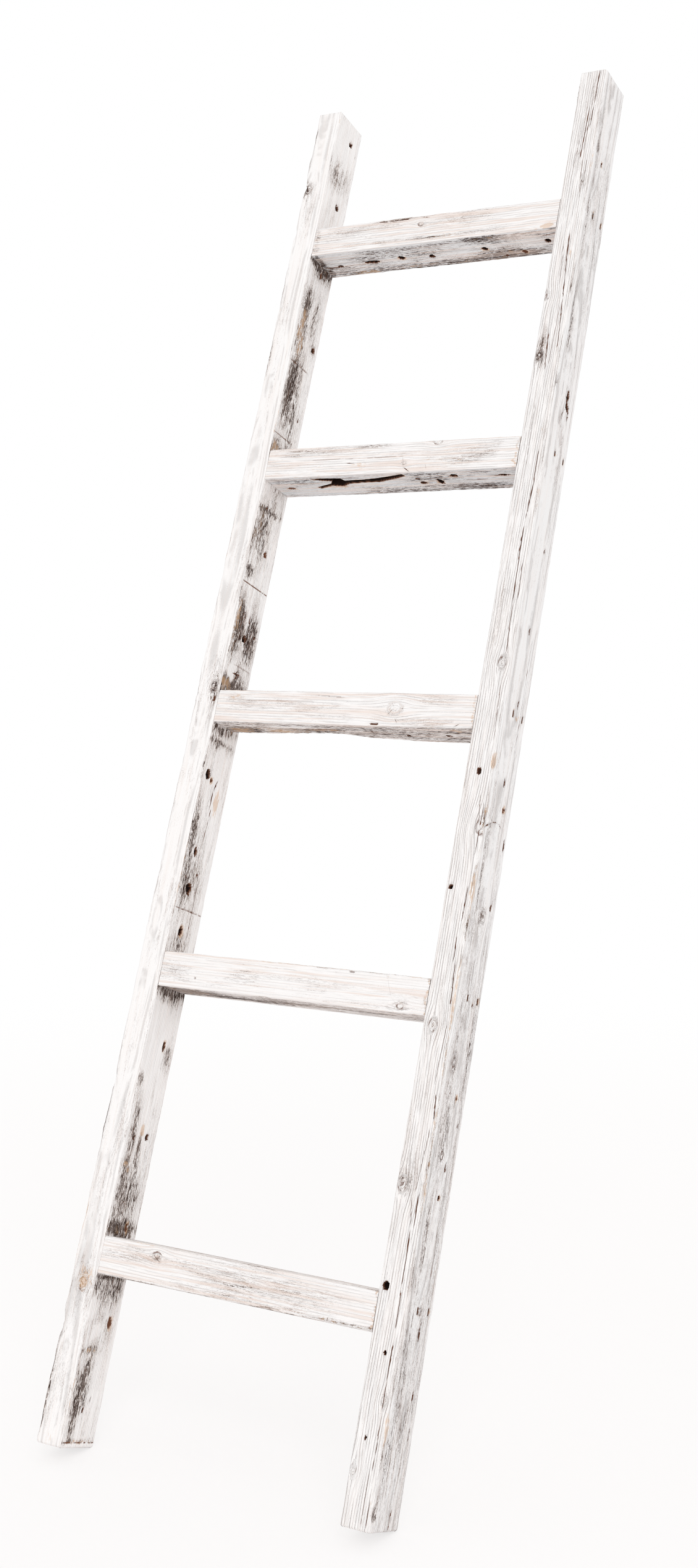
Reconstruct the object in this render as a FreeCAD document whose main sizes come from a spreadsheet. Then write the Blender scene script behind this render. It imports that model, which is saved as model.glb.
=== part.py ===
import FreeCAD, Part
import os

import Sketcher
from FreeCAD import Vector

# A leaning blanket ladder of reclaimed softwood: two rails, five rungs butted between them,
# and two square-cut nails through the rail into each end of each rung.
#
# The ladder is drawn square, in its own directions: X across it from left to right, Y through
# its depth with the rear faces at 0 and the front faces at -timber_depth, and Z up the rails
# from the feet. Placements then lean it back by lean_angle about the rear bottom edges of the
# rails, which is where it touches the floor. The origin is on that line, midway across.

RUNG_COUNT = 5

SIZES = (
    # the frame
    ("rail_length", 1828.8),
    ("rail_width", 38.1),
    ("timber_depth", 63.5),
    ("inner_span", 381.0),
    ("rung_height", 44.5),
    ("lowest_rung_top", 241.0),
    ("rung_pitch", 347.75),
    ("lean_angle", 20.0),
    # edges that hands and storage have worn round
    ("arris_radius", 2.0),
    ("worn_arris_radius", 4.0),
    ("end_chamfer", 1.2),
    # square-cut nails, which taper in width and keep their thickness
    ("nail_length", 75.0),
    ("nail_width", 4.8),
    ("nail_tip_width", 2.2),
    ("nail_thickness", 3.0),
    ("head_width", 7.4),
    ("head_thickness", 4.4),
    ("head_height", 2.5),
    ("head_sink", 1.5),
    ("nail_rise", 8.0),
    ("nail_clearance", 0.1),
    ("nail_end_gap", 1.0),
    # holes that older nails left, hollows, saw kerfs and chips
    ("old_hole_length", 7.0),
    ("old_hole_width", 4.2),
    ("old_hole_depth", 12.0),
    ("gouge_depth", 3.0),
    ("rot_depth", 13.0),
    ("kerf_width", 1.4),
    ("kerf_depth", 0.7),
    ("chip_depth", 2.6),
    ("split_depth", 3.0),
    ("worn_rise", 14.2),
)

# Marks on a timber are given by where they lie: the first number is a share of its length and
# the second a share of its face's width, so they stay on the timber when its size changes.
RAIL_FRONT_HOLES = ((0.459, 0.49), (0.382, 0.18), (0.135, 0.22), (0.098, 0.53), (0.050, 0.36))
RAIL_FRONT_SPLITS = (
    # along, across, length, width
    (0.0684, 0.74, 130.0, 1.5), (0.153, 0.71, 60.0, 1.6), (0.559, 0.73, 75.0, 1.6),
    (0.607, 0.67, 100.0, 1.6), (0.820, 0.67, 80.0, 1.7), (0.946, 0.525, 80.0, 1.7),
)
RAIL_SIDE_HOLES = (
    (0.928, 0.457), (0.623, 0.68), (0.564, 0.58), (0.512, 0.60), (0.457, 0.54), (0.440, 0.68),
    (0.417, 0.91), (0.3675, 0.52), (0.311, 0.69), (0.209, 0.63), (0.191, 0.55), (0.112, 0.65),
)
RAIL_SIDE_GOUGES = (
    # along, across, length, width
    (0.739, 0.63, 26.0, 8.0), (0.728, 0.74, 12.0, 4.0), (0.708, 0.60, 30.0, 9.0),
    (0.075, 0.77, 12.0, 4.0), (0.053, 0.85, 13.0, 3.0),
)
INNER_SIDE_HOLES = (
    (0.983, 0.62), (0.924, 0.58), (0.739, 0.80), (0.625, 0.60), (0.557, 0.49), (0.444, 0.60),
    (0.395, 0.36), (0.196, 0.28), (0.198, 0.70), (0.102, 0.56), (0.030, 0.62),
)
INNER_SIDE_KNOTS = (
    (0.800, 0.82, 22.0, 13.0), (0.529, 0.48, 20.0, 12.0), (0.451, 0.24, 17.0, 10.0),
    (0.431, 0.56, 34.0, 7.0), (0.079, 0.72, 18.0, 9.0),
)
SAW_LINES = (0.780, 0.717, 0.597, 0.353, 0.236)
LEFT_RAIL_CHIPS = ((0.226, 20.0), (0.067, 26.0), (0.505, 16.0), (0.886, 18.0))
RIGHT_RAIL_CHIPS = ((0.812, 22.0), (0.737, 24.0), (0.330, 18.0), (0.004, 22.0))

UNDERSIDE_HOLES = {
    1: ((0.073, 0.60), (0.346, 0.50), (0.462, 0.60), (0.685, 0.56), (0.934, 0.50)),
    2: ((0.055, 0.60), (0.743, 0.36), (0.932, 0.40)),
    3: ((0.719, 0.66), (0.874, 0.58)),
    4: ((0.210, 0.45), (0.640, 0.55)),
    5: ((0.330, 0.50), (0.780, 0.42)),
}
UNDERSIDE_GOUGES = {
    1: ((0.214, 0.56, 22.0, 4.0),),
    4: ((0.430, 0.62, 40.0, 5.0),),
}
# the rotted split under the second rung: its outline, along and across the underside
ROT_HOLLOW = (
    (0.184, 0.157), (0.226, 0.126), (0.257, 0.142), (0.299, 0.157), (0.310, 0.283),
    (0.394, 0.268), (0.451, 0.236), (0.514, 0.157), (0.556, 0.110), (0.562, 0.173),
    (0.525, 0.268), (0.467, 0.362), (0.441, 0.409), (0.394, 0.394), (0.315, 0.425),
    (0.283, 0.535), (0.257, 0.504), (0.236, 0.488), (0.184, 0.598), (0.178, 0.535),
    (0.247, 0.394), (0.260, 0.268), (0.220, 0.220),
)
# how far the rear lower edge of a rung has worn away, at points along it
WORN_EDGES = {
    3: ((0.0, 0.244), (0.157, 0.26), (0.262, 0.323), (0.394, 0.394), (0.459, 0.378),
        (0.525, 0.26), (0.564, 0.165), (0.688, 0.087), (0.80, 0.03)),
    5: ((0.26, 0.10), (0.38, 0.24), (0.52, 0.20), (0.66, 0.34), (0.84, 0.27), (1.0, 0.36)),
}
# the share of that wear which reaches its top, worn_rise above the underside
WORN_TOP_SHARE = 0.45
# where the two nails lie through the timber's depth
NAIL_PLACES = (0.457, 0.874)

doc = FreeCAD.newDocument("blanket_ladder")


def make_sheet():
    sheet = doc.addObject("Spreadsheet::Sheet", "Sizes")
    for row, (name, value) in enumerate(SIZES, start=1):
        sheet.set(f"A{row}", name)
        sheet.set(f"B{row}", str(value))
        sheet.setAlias(f"B{row}", name)
    doc.recompute()
    return sheet


def new_body(name, across, up, turned=0):
    """A timber or nail, placed in the leaning ladder at `across` and `up` the rails."""
    body = doc.addObject("PartDesign::Body", name)
    lean = "placement(vector(0; 0; 0); rotation(vector(1; 0; 0); -Sizes.lean_angle))"
    seat = f"placement(vector({across}; 0; {up}); rotation(vector(0; 0; 1); {turned}))"
    body.setExpression("Placement", f"{lean} * {seat}")
    return body


def new_sketch(body, plane, name, offset=None):
    """A sketch on one of the body's own planes, moved along that plane's normal by `offset`."""
    sketch = body.newObject("Sketcher::SketchObject", name)
    datum = next(item for item in body.Origin.OriginFeatures if item.Role == plane)
    sketch.AttachmentSupport = [(datum, "")]
    sketch.MapMode = "FlatFace"
    if offset:
        sketch.setExpression("AttachmentOffset.Base.z", offset)
    return sketch


def bind(sketch, constraint, expression):
    index = sketch.addConstraint(constraint)
    sketch.setExpression(f"Constraints[{index}]", expression)


def add_polygon(sketch, corners):
    """A closed outline whose corners are pairs of expressions, each bound to the sheet."""
    first = sketch.GeometryCount
    # the outline starts near its final place, so that it can't settle folded over itself
    start = [Vector(*rough_place(corner), 0) for corner in corners]
    for number, point in enumerate(start):
        sketch.addGeometry(Part.LineSegment(point, start[(number + 1) % len(start)]))
    for number, (along, across) in enumerate(corners):
        line = first + number
        before = first + (number - 1) % len(corners)
        sketch.addConstraint(Sketcher.Constraint("Coincident", before, 2, line, 1))
        bind(sketch, Sketcher.Constraint("DistanceX", -1, 1, line, 1, 1.0), along)
        bind(sketch, Sketcher.Constraint("DistanceY", -1, 1, line, 1, 1.0), across)


def rough_place(corner):
    """The millimetres that a pair of expressions stands for now."""
    return tuple(float(sheet.evalExpression(part)) for part in corner)


def pad(body, sketch, name, length):
    feature = body.newObject("PartDesign::Pad", name)
    feature.Profile = sketch
    feature.setExpression("Length", length)
    doc.recompute()
    return feature


def pocket(body, sketch, name, depth, reverse=False):
    """A cut into the timber, checked to have taken wood away."""
    volume = body.Tip.Shape.Volume
    feature = body.newObject("PartDesign::Pocket", name)
    feature.Profile = sketch
    feature.Reversed = reverse
    feature.setExpression("Length", depth)
    doc.recompute()
    if not body.Tip.Shape.Volume < volume:
        raise RuntimeError(f"{body.Name}.{name} cuts nothing")
    return feature


def tapered(body, kind, name, start, end):
    """A loft between two sketches: an AdditiveLoft adds it, and a SubtractiveLoft cuts it."""
    feature = body.newObject(f"PartDesign::{kind}", name)
    feature.Profile = start
    feature.Sections = [end]
    feature.Ruled = True
    doc.recompute()
    return feature


def ease_edges(body, name, radius, chosen):
    """Rounds the edges of the body's present shape for which `chosen` is true."""
    base = body.Tip
    names = [f"Edge{n}" for n, edge in enumerate(base.Shape.Edges, start=1) if chosen(edge)]
    feature = body.newObject("PartDesign::Fillet", name)
    feature.Base = (base, names)
    feature.setExpression("Radius", radius)
    doc.recompute()
    return feature


def chamfer_ends(body, name, size):
    """Breaks the edges round both square-cut ends of a rail."""
    base = body.Tip
    box = base.Shape.BoundBox
    names = []
    for number, edge in enumerate(base.Shape.Edges, start=1):
        places = [vertex.Point.z for vertex in edge.Vertexes]
        if any(all(abs(place - end) < 1e-4 for place in places) for end in (box.ZMin, box.ZMax)):
            names.append(f"Edge{number}")
    feature = body.newObject("PartDesign::Chamfer", name)
    feature.Base = (base, names)
    feature.setExpression("Size", size)
    doc.recompute()
    return feature


def runs_along(edge, axis):
    """True for a straight edge that is parallel to an axis of the body."""
    if len(edge.Vertexes) != 2:
        return False
    span = edge.Vertexes[1].Point - edge.Vertexes[0].Point
    return abs(span[axis]) > 0.999 * span.Length


def share(size, part):
    return f"Sizes.{size} * {part}"


def through_depth(part):
    """A place across a timber's side or underside, from its front face at 0 to its rear at 1."""
    return f"-Sizes.timber_depth * {1 - part:.3f}"


def on_side(mark):
    """The place of a mark on a rail's side, up the rail and through its depth."""
    return (share("rail_length", mark[0]), through_depth(mark[1]))


def nail_depths():
    """The two places through the timber's depth where the nails run, front one first."""
    return [f"({through_depth(part)})" for part in NAIL_PLACES]


def nail_height():
    """How far above a rung's underside its nails run."""
    return "(Sizes.rung_height / 2 + Sizes.nail_rise)"


def nail_width_at(reach):
    """The width of a nail at `reach` from the top of its head, as it tapers to the tip."""
    lost = "(Sizes.nail_width - Sizes.nail_tip_width)"
    return f"(Sizes.nail_width - {lost} * ({reach}) / Sizes.nail_length)"


def rung_bottom(number):
    """How far up the rails the underside of a rung lies; rung 1 is the top one."""
    steps = RUNG_COUNT - number
    return f"(Sizes.lowest_rung_top - Sizes.rung_height + {steps} * Sizes.rung_pitch)"


# ---- wear marks ---------------------------------------------------------------------------


def lens(along, across, length, width):
    """Corners of a pointed slot, as weather opens one along the grain."""
    stops = ((-0.5, 0), (-0.22, -0.42), (0.2, -0.5), (0.5, 0.1), (0.16, 0.5), (-0.25, 0.38))
    return [(f"{along} + {s} * {length}", f"{across} + {t} * {width}") for s, t in stops]


def upright(corners):
    """Corners given along and across the grain, for a sketch whose Y runs along it."""
    return [(across, along) for along, across in corners]


def old_holes(body, plane, name, places, offset, reverse, grain_up):
    """The torn holes of pulled nails, each a short slot along the grain."""
    size = ("Sizes.old_hole_length", "Sizes.old_hole_width")
    marks = [(along, across, *size) for along, across in places]
    gouges(body, plane, name, marks, offset, reverse, grain_up, "Sizes.old_hole_depth")


def gouges(body, plane, name, marks, offset, reverse, grain_up, depth="Sizes.gouge_depth"):
    sketch = new_sketch(body, plane, f"{name}_sketch", offset)
    for along, across, length, width in marks:
        corners = lens(along, across, length, width)
        add_polygon(sketch, upright(corners) if grain_up else corners)
    pocket(body, sketch, name, depth, reverse)


# ---- rails --------------------------------------------------------------------------------


def rail_blank(name, across):
    """A square-cut rail: X from 0 to rail_width, Y from -timber_depth to 0, Z up its length."""
    body = new_body(name, across, "0")
    section = new_sketch(body, "XY_Plane", "section")
    width, depth = "Sizes.rail_width", "-Sizes.timber_depth"
    add_polygon(section, (("0", depth), (width, depth), (width, "0"), ("0", "0")))
    pad(body, section, "length", "Sizes.rail_length")
    return body


def ease_rail(body, worn_side):
    """Rounds the four long edges, most on the front edge at `worn_side`, and breaks the ends."""
    box = body.Tip.Shape.BoundBox

    def is_worn(edge):
        point = edge.Vertexes[0].Point
        return runs_along(edge, 2) and abs(point.x - worn_side) + abs(point.y - box.YMin) < 0.01

    ease_edges(body, "worn_arris", "Sizes.worn_arris_radius", is_worn)

    def is_sharp(edge):
        point = edge.Vertexes[0].Point
        from_side = min(point.x - box.XMin, box.XMax - point.x)
        from_face = min(point.y - box.YMin, box.YMax - point.y)
        return runs_along(edge, 2) and from_side + from_face < 0.01

    ease_edges(body, "arris", "Sizes.arris_radius", is_sharp)
    chamfer_ends(body, "end_arris", "Sizes.end_chamfer")


def box_section(sketch, across, up, width, thickness):
    """A nail's section, `across` the timber's depth and `up` the rail at its middle."""
    x_half, y_half = f"({thickness}) / 2", f"({width}) / 2"
    signs = (("-", "-"), ("+", "-"), ("+", "+"), ("-", "+"))
    add_polygon(sketch, [(f"{across} {a} {x_half}", f"{up} {b} {y_half}") for a, b in signs])


def nail_passage(body, name, depth, up, plane_at, reaches):
    """The tapered way of one nail through a timber, from its first reach to its last."""
    sections = []
    for end, reach in zip(("near", "far"), reaches):
        sketch = new_sketch(body, "YZ_Plane", f"{name}_{end}", plane_at(reach))
        width = f"{nail_width_at(reach)} + 2 * Sizes.nail_clearance"
        box_section(sketch, depth, up, width, "Sizes.nail_thickness + 2 * Sizes.nail_clearance")
        sections.append(sketch)
    volume = body.Tip.Shape.Volume
    feature = tapered(body, "SubtractiveLoft", name, *sections)
    if not body.Tip.Shape.Volume < volume:
        raise RuntimeError(f"{body.Name}.{name} cuts nothing")
    return feature


def rail_nail_holes(body, from_right):
    """The sunk head seats and tapered holes of both nails, repeated up the rail at each rung."""
    middle = f"({rung_bottom(RUNG_COUNT)} + {nail_height()})"
    outer_side = "Sizes.rail_width" if from_right else None
    seats = new_sketch(body, "YZ_Plane", "head_seat_sketch", outer_side)
    room = "2 * Sizes.nail_clearance"
    width, thickness = f"Sizes.head_width + {room}", f"Sizes.head_thickness + {room}"
    for depth in nail_depths():
        box_section(seats, depth, middle, width, thickness)
    cuts = [pocket(body, seats, "head_seats", "Sizes.head_sink + Sizes.head_height", not from_right)]

    def plane_at(reach):
        inward = f"({reach} + Sizes.head_sink)"
        return f"Sizes.rail_width - {inward}" if from_right else inward

    reaches = ("Sizes.head_height", "Sizes.rail_width - Sizes.head_sink")
    for place, depth in zip(("front", "rear"), nail_depths()):
        cuts.append(nail_passage(body, f"{place}_nail_hole", depth, middle, plane_at, reaches))
    rows = body.newObject("PartDesign::LinearPattern", "nail_hole_rows")
    rows.Originals = cuts
    rows.Direction = (new_sketch(body, "XZ_Plane", "row_direction"), ["V_Axis"])
    rows.setExpression("Length", f"Sizes.rung_pitch * {RUNG_COUNT - 1}")
    rows.Occurrences = RUNG_COUNT
    volume = body.Tip.Shape.Volume
    body.Tip = rows
    doc.recompute()
    if not body.Tip.Shape.Volume < volume:
        raise RuntimeError(f"{body.Name} has nail holes at one rung only")


def edge_chips(body, chips, at_right):
    """Splinters broken from the front outer edge, seen as shallow bites in its outline."""
    sketch = new_sketch(body, "XZ_Plane", "chips_sketch", "Sizes.timber_depth")
    edge = "Sizes.rail_width" if at_right else "0"
    inward = "-" if at_right else "+"
    outward = "+" if at_right else "-"
    for along, length in chips:
        place = share("rail_length", along)
        add_polygon(sketch, (
            (f"{edge} {outward} 1", f"{place}"),
            (f"{edge} {inward} Sizes.chip_depth * 0.6", f"{place} + {0.25 * length}"),
            (f"{edge} {inward} Sizes.chip_depth", f"{place} + {0.55 * length}"),
            (f"{edge} {inward} Sizes.chip_depth * 0.5", f"{place} + {0.8 * length}"),
            (f"{edge} {outward} 1", f"{place} + {length}"),
        ))
    pocket(body, sketch, "chips", "Sizes.chip_depth * 4")


def left_rail():
    """The left rail, whose inner side shows most of the wear."""
    body = rail_blank("left_rail", "-Sizes.inner_span / 2 - Sizes.rail_width")
    ease_rail(body, 0.0)
    rail_nail_holes(body, from_right=False)
    places = [on_side(mark) for mark in INNER_SIDE_HOLES]
    old_holes(body, "YZ_Plane", "inner_old_holes", places, "Sizes.rail_width", False, True)
    knots = [on_side(mark) + mark[2:] for mark in INNER_SIDE_KNOTS]
    gouges(body, "YZ_Plane", "knot_holes", knots, "Sizes.rail_width", False, True)
    saw_lines(body)
    edge_chips(body, LEFT_RAIL_CHIPS, at_right=False)
    return body


def saw_lines(body):
    """Shallow saw kerfs across the inner side, from the timber's earlier use."""
    sketch = new_sketch(body, "YZ_Plane", "saw_lines_sketch", "Sizes.rail_width")
    for along in SAW_LINES:
        low = share("rail_length", along)
        high = f"{low} + Sizes.kerf_width"
        add_polygon(sketch, (
            ("-Sizes.timber_depth - 1", low), ("1", low), ("1", high),
            ("-Sizes.timber_depth - 1", high),
        ))
    pocket(body, sketch, "saw_lines", "Sizes.kerf_depth")


def right_rail():
    """The right rail, with old nail holes on its front and gouges on its outer side."""
    body = rail_blank("right_rail", "Sizes.inner_span / 2")
    ease_rail(body, sheet.rail_width)
    rail_nail_holes(body, from_right=True)
    fronts = [(share("rail_length", a), share("rail_width", c)) for a, c in RAIL_FRONT_HOLES]
    old_holes(body, "XZ_Plane", "front_old_holes", fronts, "Sizes.timber_depth", False, True)
    sides = [on_side(mark) for mark in RAIL_SIDE_HOLES]
    old_holes(body, "YZ_Plane", "side_old_holes", sides, "Sizes.rail_width", False, True)
    splits = [
        (share("rail_length", a), share("rail_width", c), length, width)
        for a, c, length, width in RAIL_FRONT_SPLITS
    ]
    gouges(
        body, "XZ_Plane", "front_splits", splits, "Sizes.timber_depth", False, True,
        "Sizes.split_depth",
    )
    marks = [on_side(mark) + mark[2:] for mark in RAIL_SIDE_GOUGES]
    gouges(body, "YZ_Plane", "side_gouges", marks, "Sizes.rail_width", False, True)
    edge_chips(body, RIGHT_RAIL_CHIPS, at_right=True)
    return body


# ---- rungs --------------------------------------------------------------------------------


def rung(number):
    """A rung: X along it from 0 to inner_span, Y -timber_depth to 0, Z up from its underside."""
    body = new_body(f"rung_{number}", "-Sizes.inner_span / 2", rung_bottom(number))
    section = new_sketch(body, "YZ_Plane", "section")
    depth, top = "-Sizes.timber_depth", "Sizes.rung_height"
    add_polygon(section, ((depth, "0"), ("0", "0"), ("0", top), (depth, top)))
    pad(body, section, "length", "Sizes.inner_span")
    ease_edges(body, "arris", "Sizes.arris_radius", lambda edge: runs_along(edge, 0))
    rung_nail_holes(body)
    wear_rung(body, number)
    return body


def rung_nail_holes(body):
    """The far ends of the nails' tapered holes, in both end grains of a rung."""
    reaches = ("Sizes.rail_width - Sizes.head_sink", "Sizes.nail_length + Sizes.nail_end_gap")

    def from_left(reach):
        return f"{reach} - ({reaches[0]})"

    def from_right(reach):
        return f"Sizes.inner_span - ({from_left(reach)})"

    for end, plane_at in (("left", from_left), ("right", from_right)):
        for place, depth in zip(("front", "rear"), nail_depths()):
            name = f"{end}_{place}_nail_hole"
            nail_passage(body, name, depth, nail_height(), plane_at, reaches)


def wear_rung(body, number):
    """Old nail holes, splits and worn edges of one rung's underside."""
    def below(mark):
        return (share("inner_span", mark[0]), through_depth(mark[1]))

    holes = [below(mark) for mark in UNDERSIDE_HOLES[number]]
    old_holes(body, "XY_Plane", "old_holes", holes, None, True, False)
    if number in UNDERSIDE_GOUGES:
        marks = [below(mark) + mark[2:] for mark in UNDERSIDE_GOUGES[number]]
        gouges(body, "XY_Plane", "splits", marks, None, True, False)
    if number == 2:
        sketch = new_sketch(body, "XY_Plane", "rot_hollow_sketch")
        add_polygon(sketch, [below(corner) for corner in ROT_HOLLOW])
        pocket(body, sketch, "rot_hollow", "Sizes.rot_depth", True)
    if number in WORN_EDGES:
        wear_rear_edge(body, WORN_EDGES[number])


def wear_rear_edge(body, stops):
    """A wavy bite from the rear lower edge, which slopes back as it rises."""
    sections = []
    for end, up, reach in (("low", None, 1), ("high", "Sizes.worn_rise", WORN_TOP_SHARE)):
        sketch = new_sketch(body, "XY_Plane", f"worn_edge_{end}", up)
        wave = [(share("inner_span", a), through_depth(1 - bite * reach)) for a, bite in stops]
        add_polygon(sketch, [(wave[0][0], "1")] + wave + [(wave[-1][0], "1")])
        sections.append(sketch)
    volume = body.Tip.Shape.Volume
    tapered(body, "SubtractiveLoft", "worn_edge", *sections)
    if not body.Tip.Shape.Volume < volume:
        raise RuntimeError(f"{body.Name}.worn_edge cuts nothing")


# ---- nails --------------------------------------------------------------------------------


def nail(name, number, depth, from_right):
    """One square-cut nail: X from the top of its head to its blunt tip."""
    turned = 180 if from_right else 0
    reach = "(Sizes.inner_span / 2 + Sizes.rail_width - Sizes.head_sink)"
    across = reach if from_right else f"-{reach}"
    body = new_body(name, across, f"{rung_bottom(number)} + {nail_height()}", turned)
    # a turned body's Y runs the other way
    place = f"-{depth}" if from_right else depth
    head = new_sketch(body, "YZ_Plane", "head_sketch")
    box_section(head, place, "0", "Sizes.head_width", "Sizes.head_thickness")
    pad(body, head, "head", "Sizes.head_height")
    sections = []
    for end, along in (("neck", "Sizes.head_height"), ("tip", "Sizes.nail_length")):
        sketch = new_sketch(body, "YZ_Plane", f"{end}_sketch", along)
        box_section(sketch, place, "0", nail_width_at(along), "Sizes.nail_thickness")
        sections.append(sketch)
    tapered(body, "AdditiveLoft", "shank", *sections)
    return body


def nail_pair(number, from_right):
    """The two nails at one end of a rung, as one group of separate solids."""
    side = "right" if from_right else "left"
    name = f"{side}_nails_{number}"
    pair = doc.addObject("Part::Compound", name)
    pair.Links = [
        nail(f"{name}_{place}", number, depth, from_right)
        for place, depth in zip(("front", "rear"), nail_depths())
    ]
    doc.recompute()
    return pair


def check_and_write(pieces):
    for item in doc.Objects:
        if "Invalid" in item.State or "Error" in item.State:
            raise RuntimeError(f"{item.Label} failed: {item.State}")
    for piece in pieces:
        if piece.Shape.isNull() or not piece.Shape.isValid():
            raise RuntimeError(f"{piece.Label} has no valid shape")
    os.makedirs("parts", exist_ok=True)
    for piece in pieces:
        piece.Shape.exportStep(f"parts/{piece.Label}.step")
        print(f"{piece.Label}: {len(piece.Shape.Solids)} solids, {piece.Shape.Volume / 1000:.1f} cm3")


sheet = make_sheet()
numbers = range(1, RUNG_COUNT + 1)
pieces = [left_rail(), right_rail()]
pieces += [rung(number) for number in numbers]
pieces += [nail_pair(number, from_right) for from_right in (False, True) for number in numbers]
doc.recompute()
check_and_write(pieces)
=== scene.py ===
"""A leaning blanket ladder of reclaimed softwood: the looks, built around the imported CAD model.

Each rail and rung is one closed mesh, unrolled from its four faces and pressed inwards wherever
weather, old nails and handling have worn it. The CAD nails stay and get a rusted finish.

Lengths are millimetres in this file and metres in Blender. A place on a timber is given by
`along` its grain and `across` one of its faces. On a rail's front `across` runs from its left
edge, and on its sides from the front. On a rung's front it runs up from the underside, and on
its underside and top from the front.
"""

import math
from dataclasses import dataclass
from itertools import product

import bpy
import numpy as np
from bpy.props import FloatProperty, FloatVectorProperty, PointerProperty
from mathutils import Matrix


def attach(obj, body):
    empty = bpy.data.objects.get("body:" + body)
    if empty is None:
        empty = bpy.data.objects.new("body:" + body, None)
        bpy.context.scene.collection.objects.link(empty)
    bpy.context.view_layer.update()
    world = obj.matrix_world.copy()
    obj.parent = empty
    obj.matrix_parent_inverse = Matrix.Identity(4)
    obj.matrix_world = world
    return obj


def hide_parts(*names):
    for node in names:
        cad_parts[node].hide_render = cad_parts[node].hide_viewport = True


bl_info = {
    "name": "Leaning blanket ladder",
    "version": (1, 0, 0),
    "blender": (4, 5, 0),
    "location": "View3D > Sidebar > Ladder",
    "description": "A limewashed blanket ladder of reclaimed softwood, with its studio",
    "category": "Object",
}

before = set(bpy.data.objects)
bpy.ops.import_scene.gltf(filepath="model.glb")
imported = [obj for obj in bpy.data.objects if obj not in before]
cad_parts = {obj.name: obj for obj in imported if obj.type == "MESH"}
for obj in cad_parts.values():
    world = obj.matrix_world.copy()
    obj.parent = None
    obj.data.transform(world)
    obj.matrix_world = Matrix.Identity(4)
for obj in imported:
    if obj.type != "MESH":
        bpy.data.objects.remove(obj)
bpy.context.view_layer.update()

MM = 0.001
BODY = "root"
RUNGS = (1, 2, 3, 4, 5)
FACES = ("front", "far", "rear", "near")
WIDTH_FACES = ("front", "rear")


def linear(hex_colour):
    """The linear colour, with alpha, of an sRGB hex value."""
    parts = [int(hex_colour[n : n + 2], 16) / 255 for n in (1, 3, 5)]
    return [c / 12.92 if c <= 0.04045 else ((c + 0.055) / 1.055) ** 2.4 for c in parts] + [1.0]


# ---- wear that the timbers carry, in mm --------------------------------------------------
#
# holes    along, across, length, width, depth, stain
# cracks   from along, from across, to along, to across, width, depth
# knots    along, across, radius
# kerfs    along, from across, to across, width, depth
# patches  along, across, length, width, bare, warm: bare above 0 is worn paint and below 0 is
#          thick paint, and warm is a cream to tan stain
# rot      corners of a rotted hollow, each along and across, and rot_depth its depth


@dataclass
class Wear:
    """What one face of a timber has been through."""

    bare: float = 0.25
    lines: float = 0.5
    # painted shade: how far this face's paint and wood are greyed, cooled and darkened because the
    # face is turned from the light
    painted_shade: float = 0.0
    holes: tuple = ()
    cracks: tuple = ()
    knots: tuple = ()
    kerfs: tuple = ()
    patches: tuple = ()
    rot: tuple = ()
    rot_depth: float = 12.0


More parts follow.
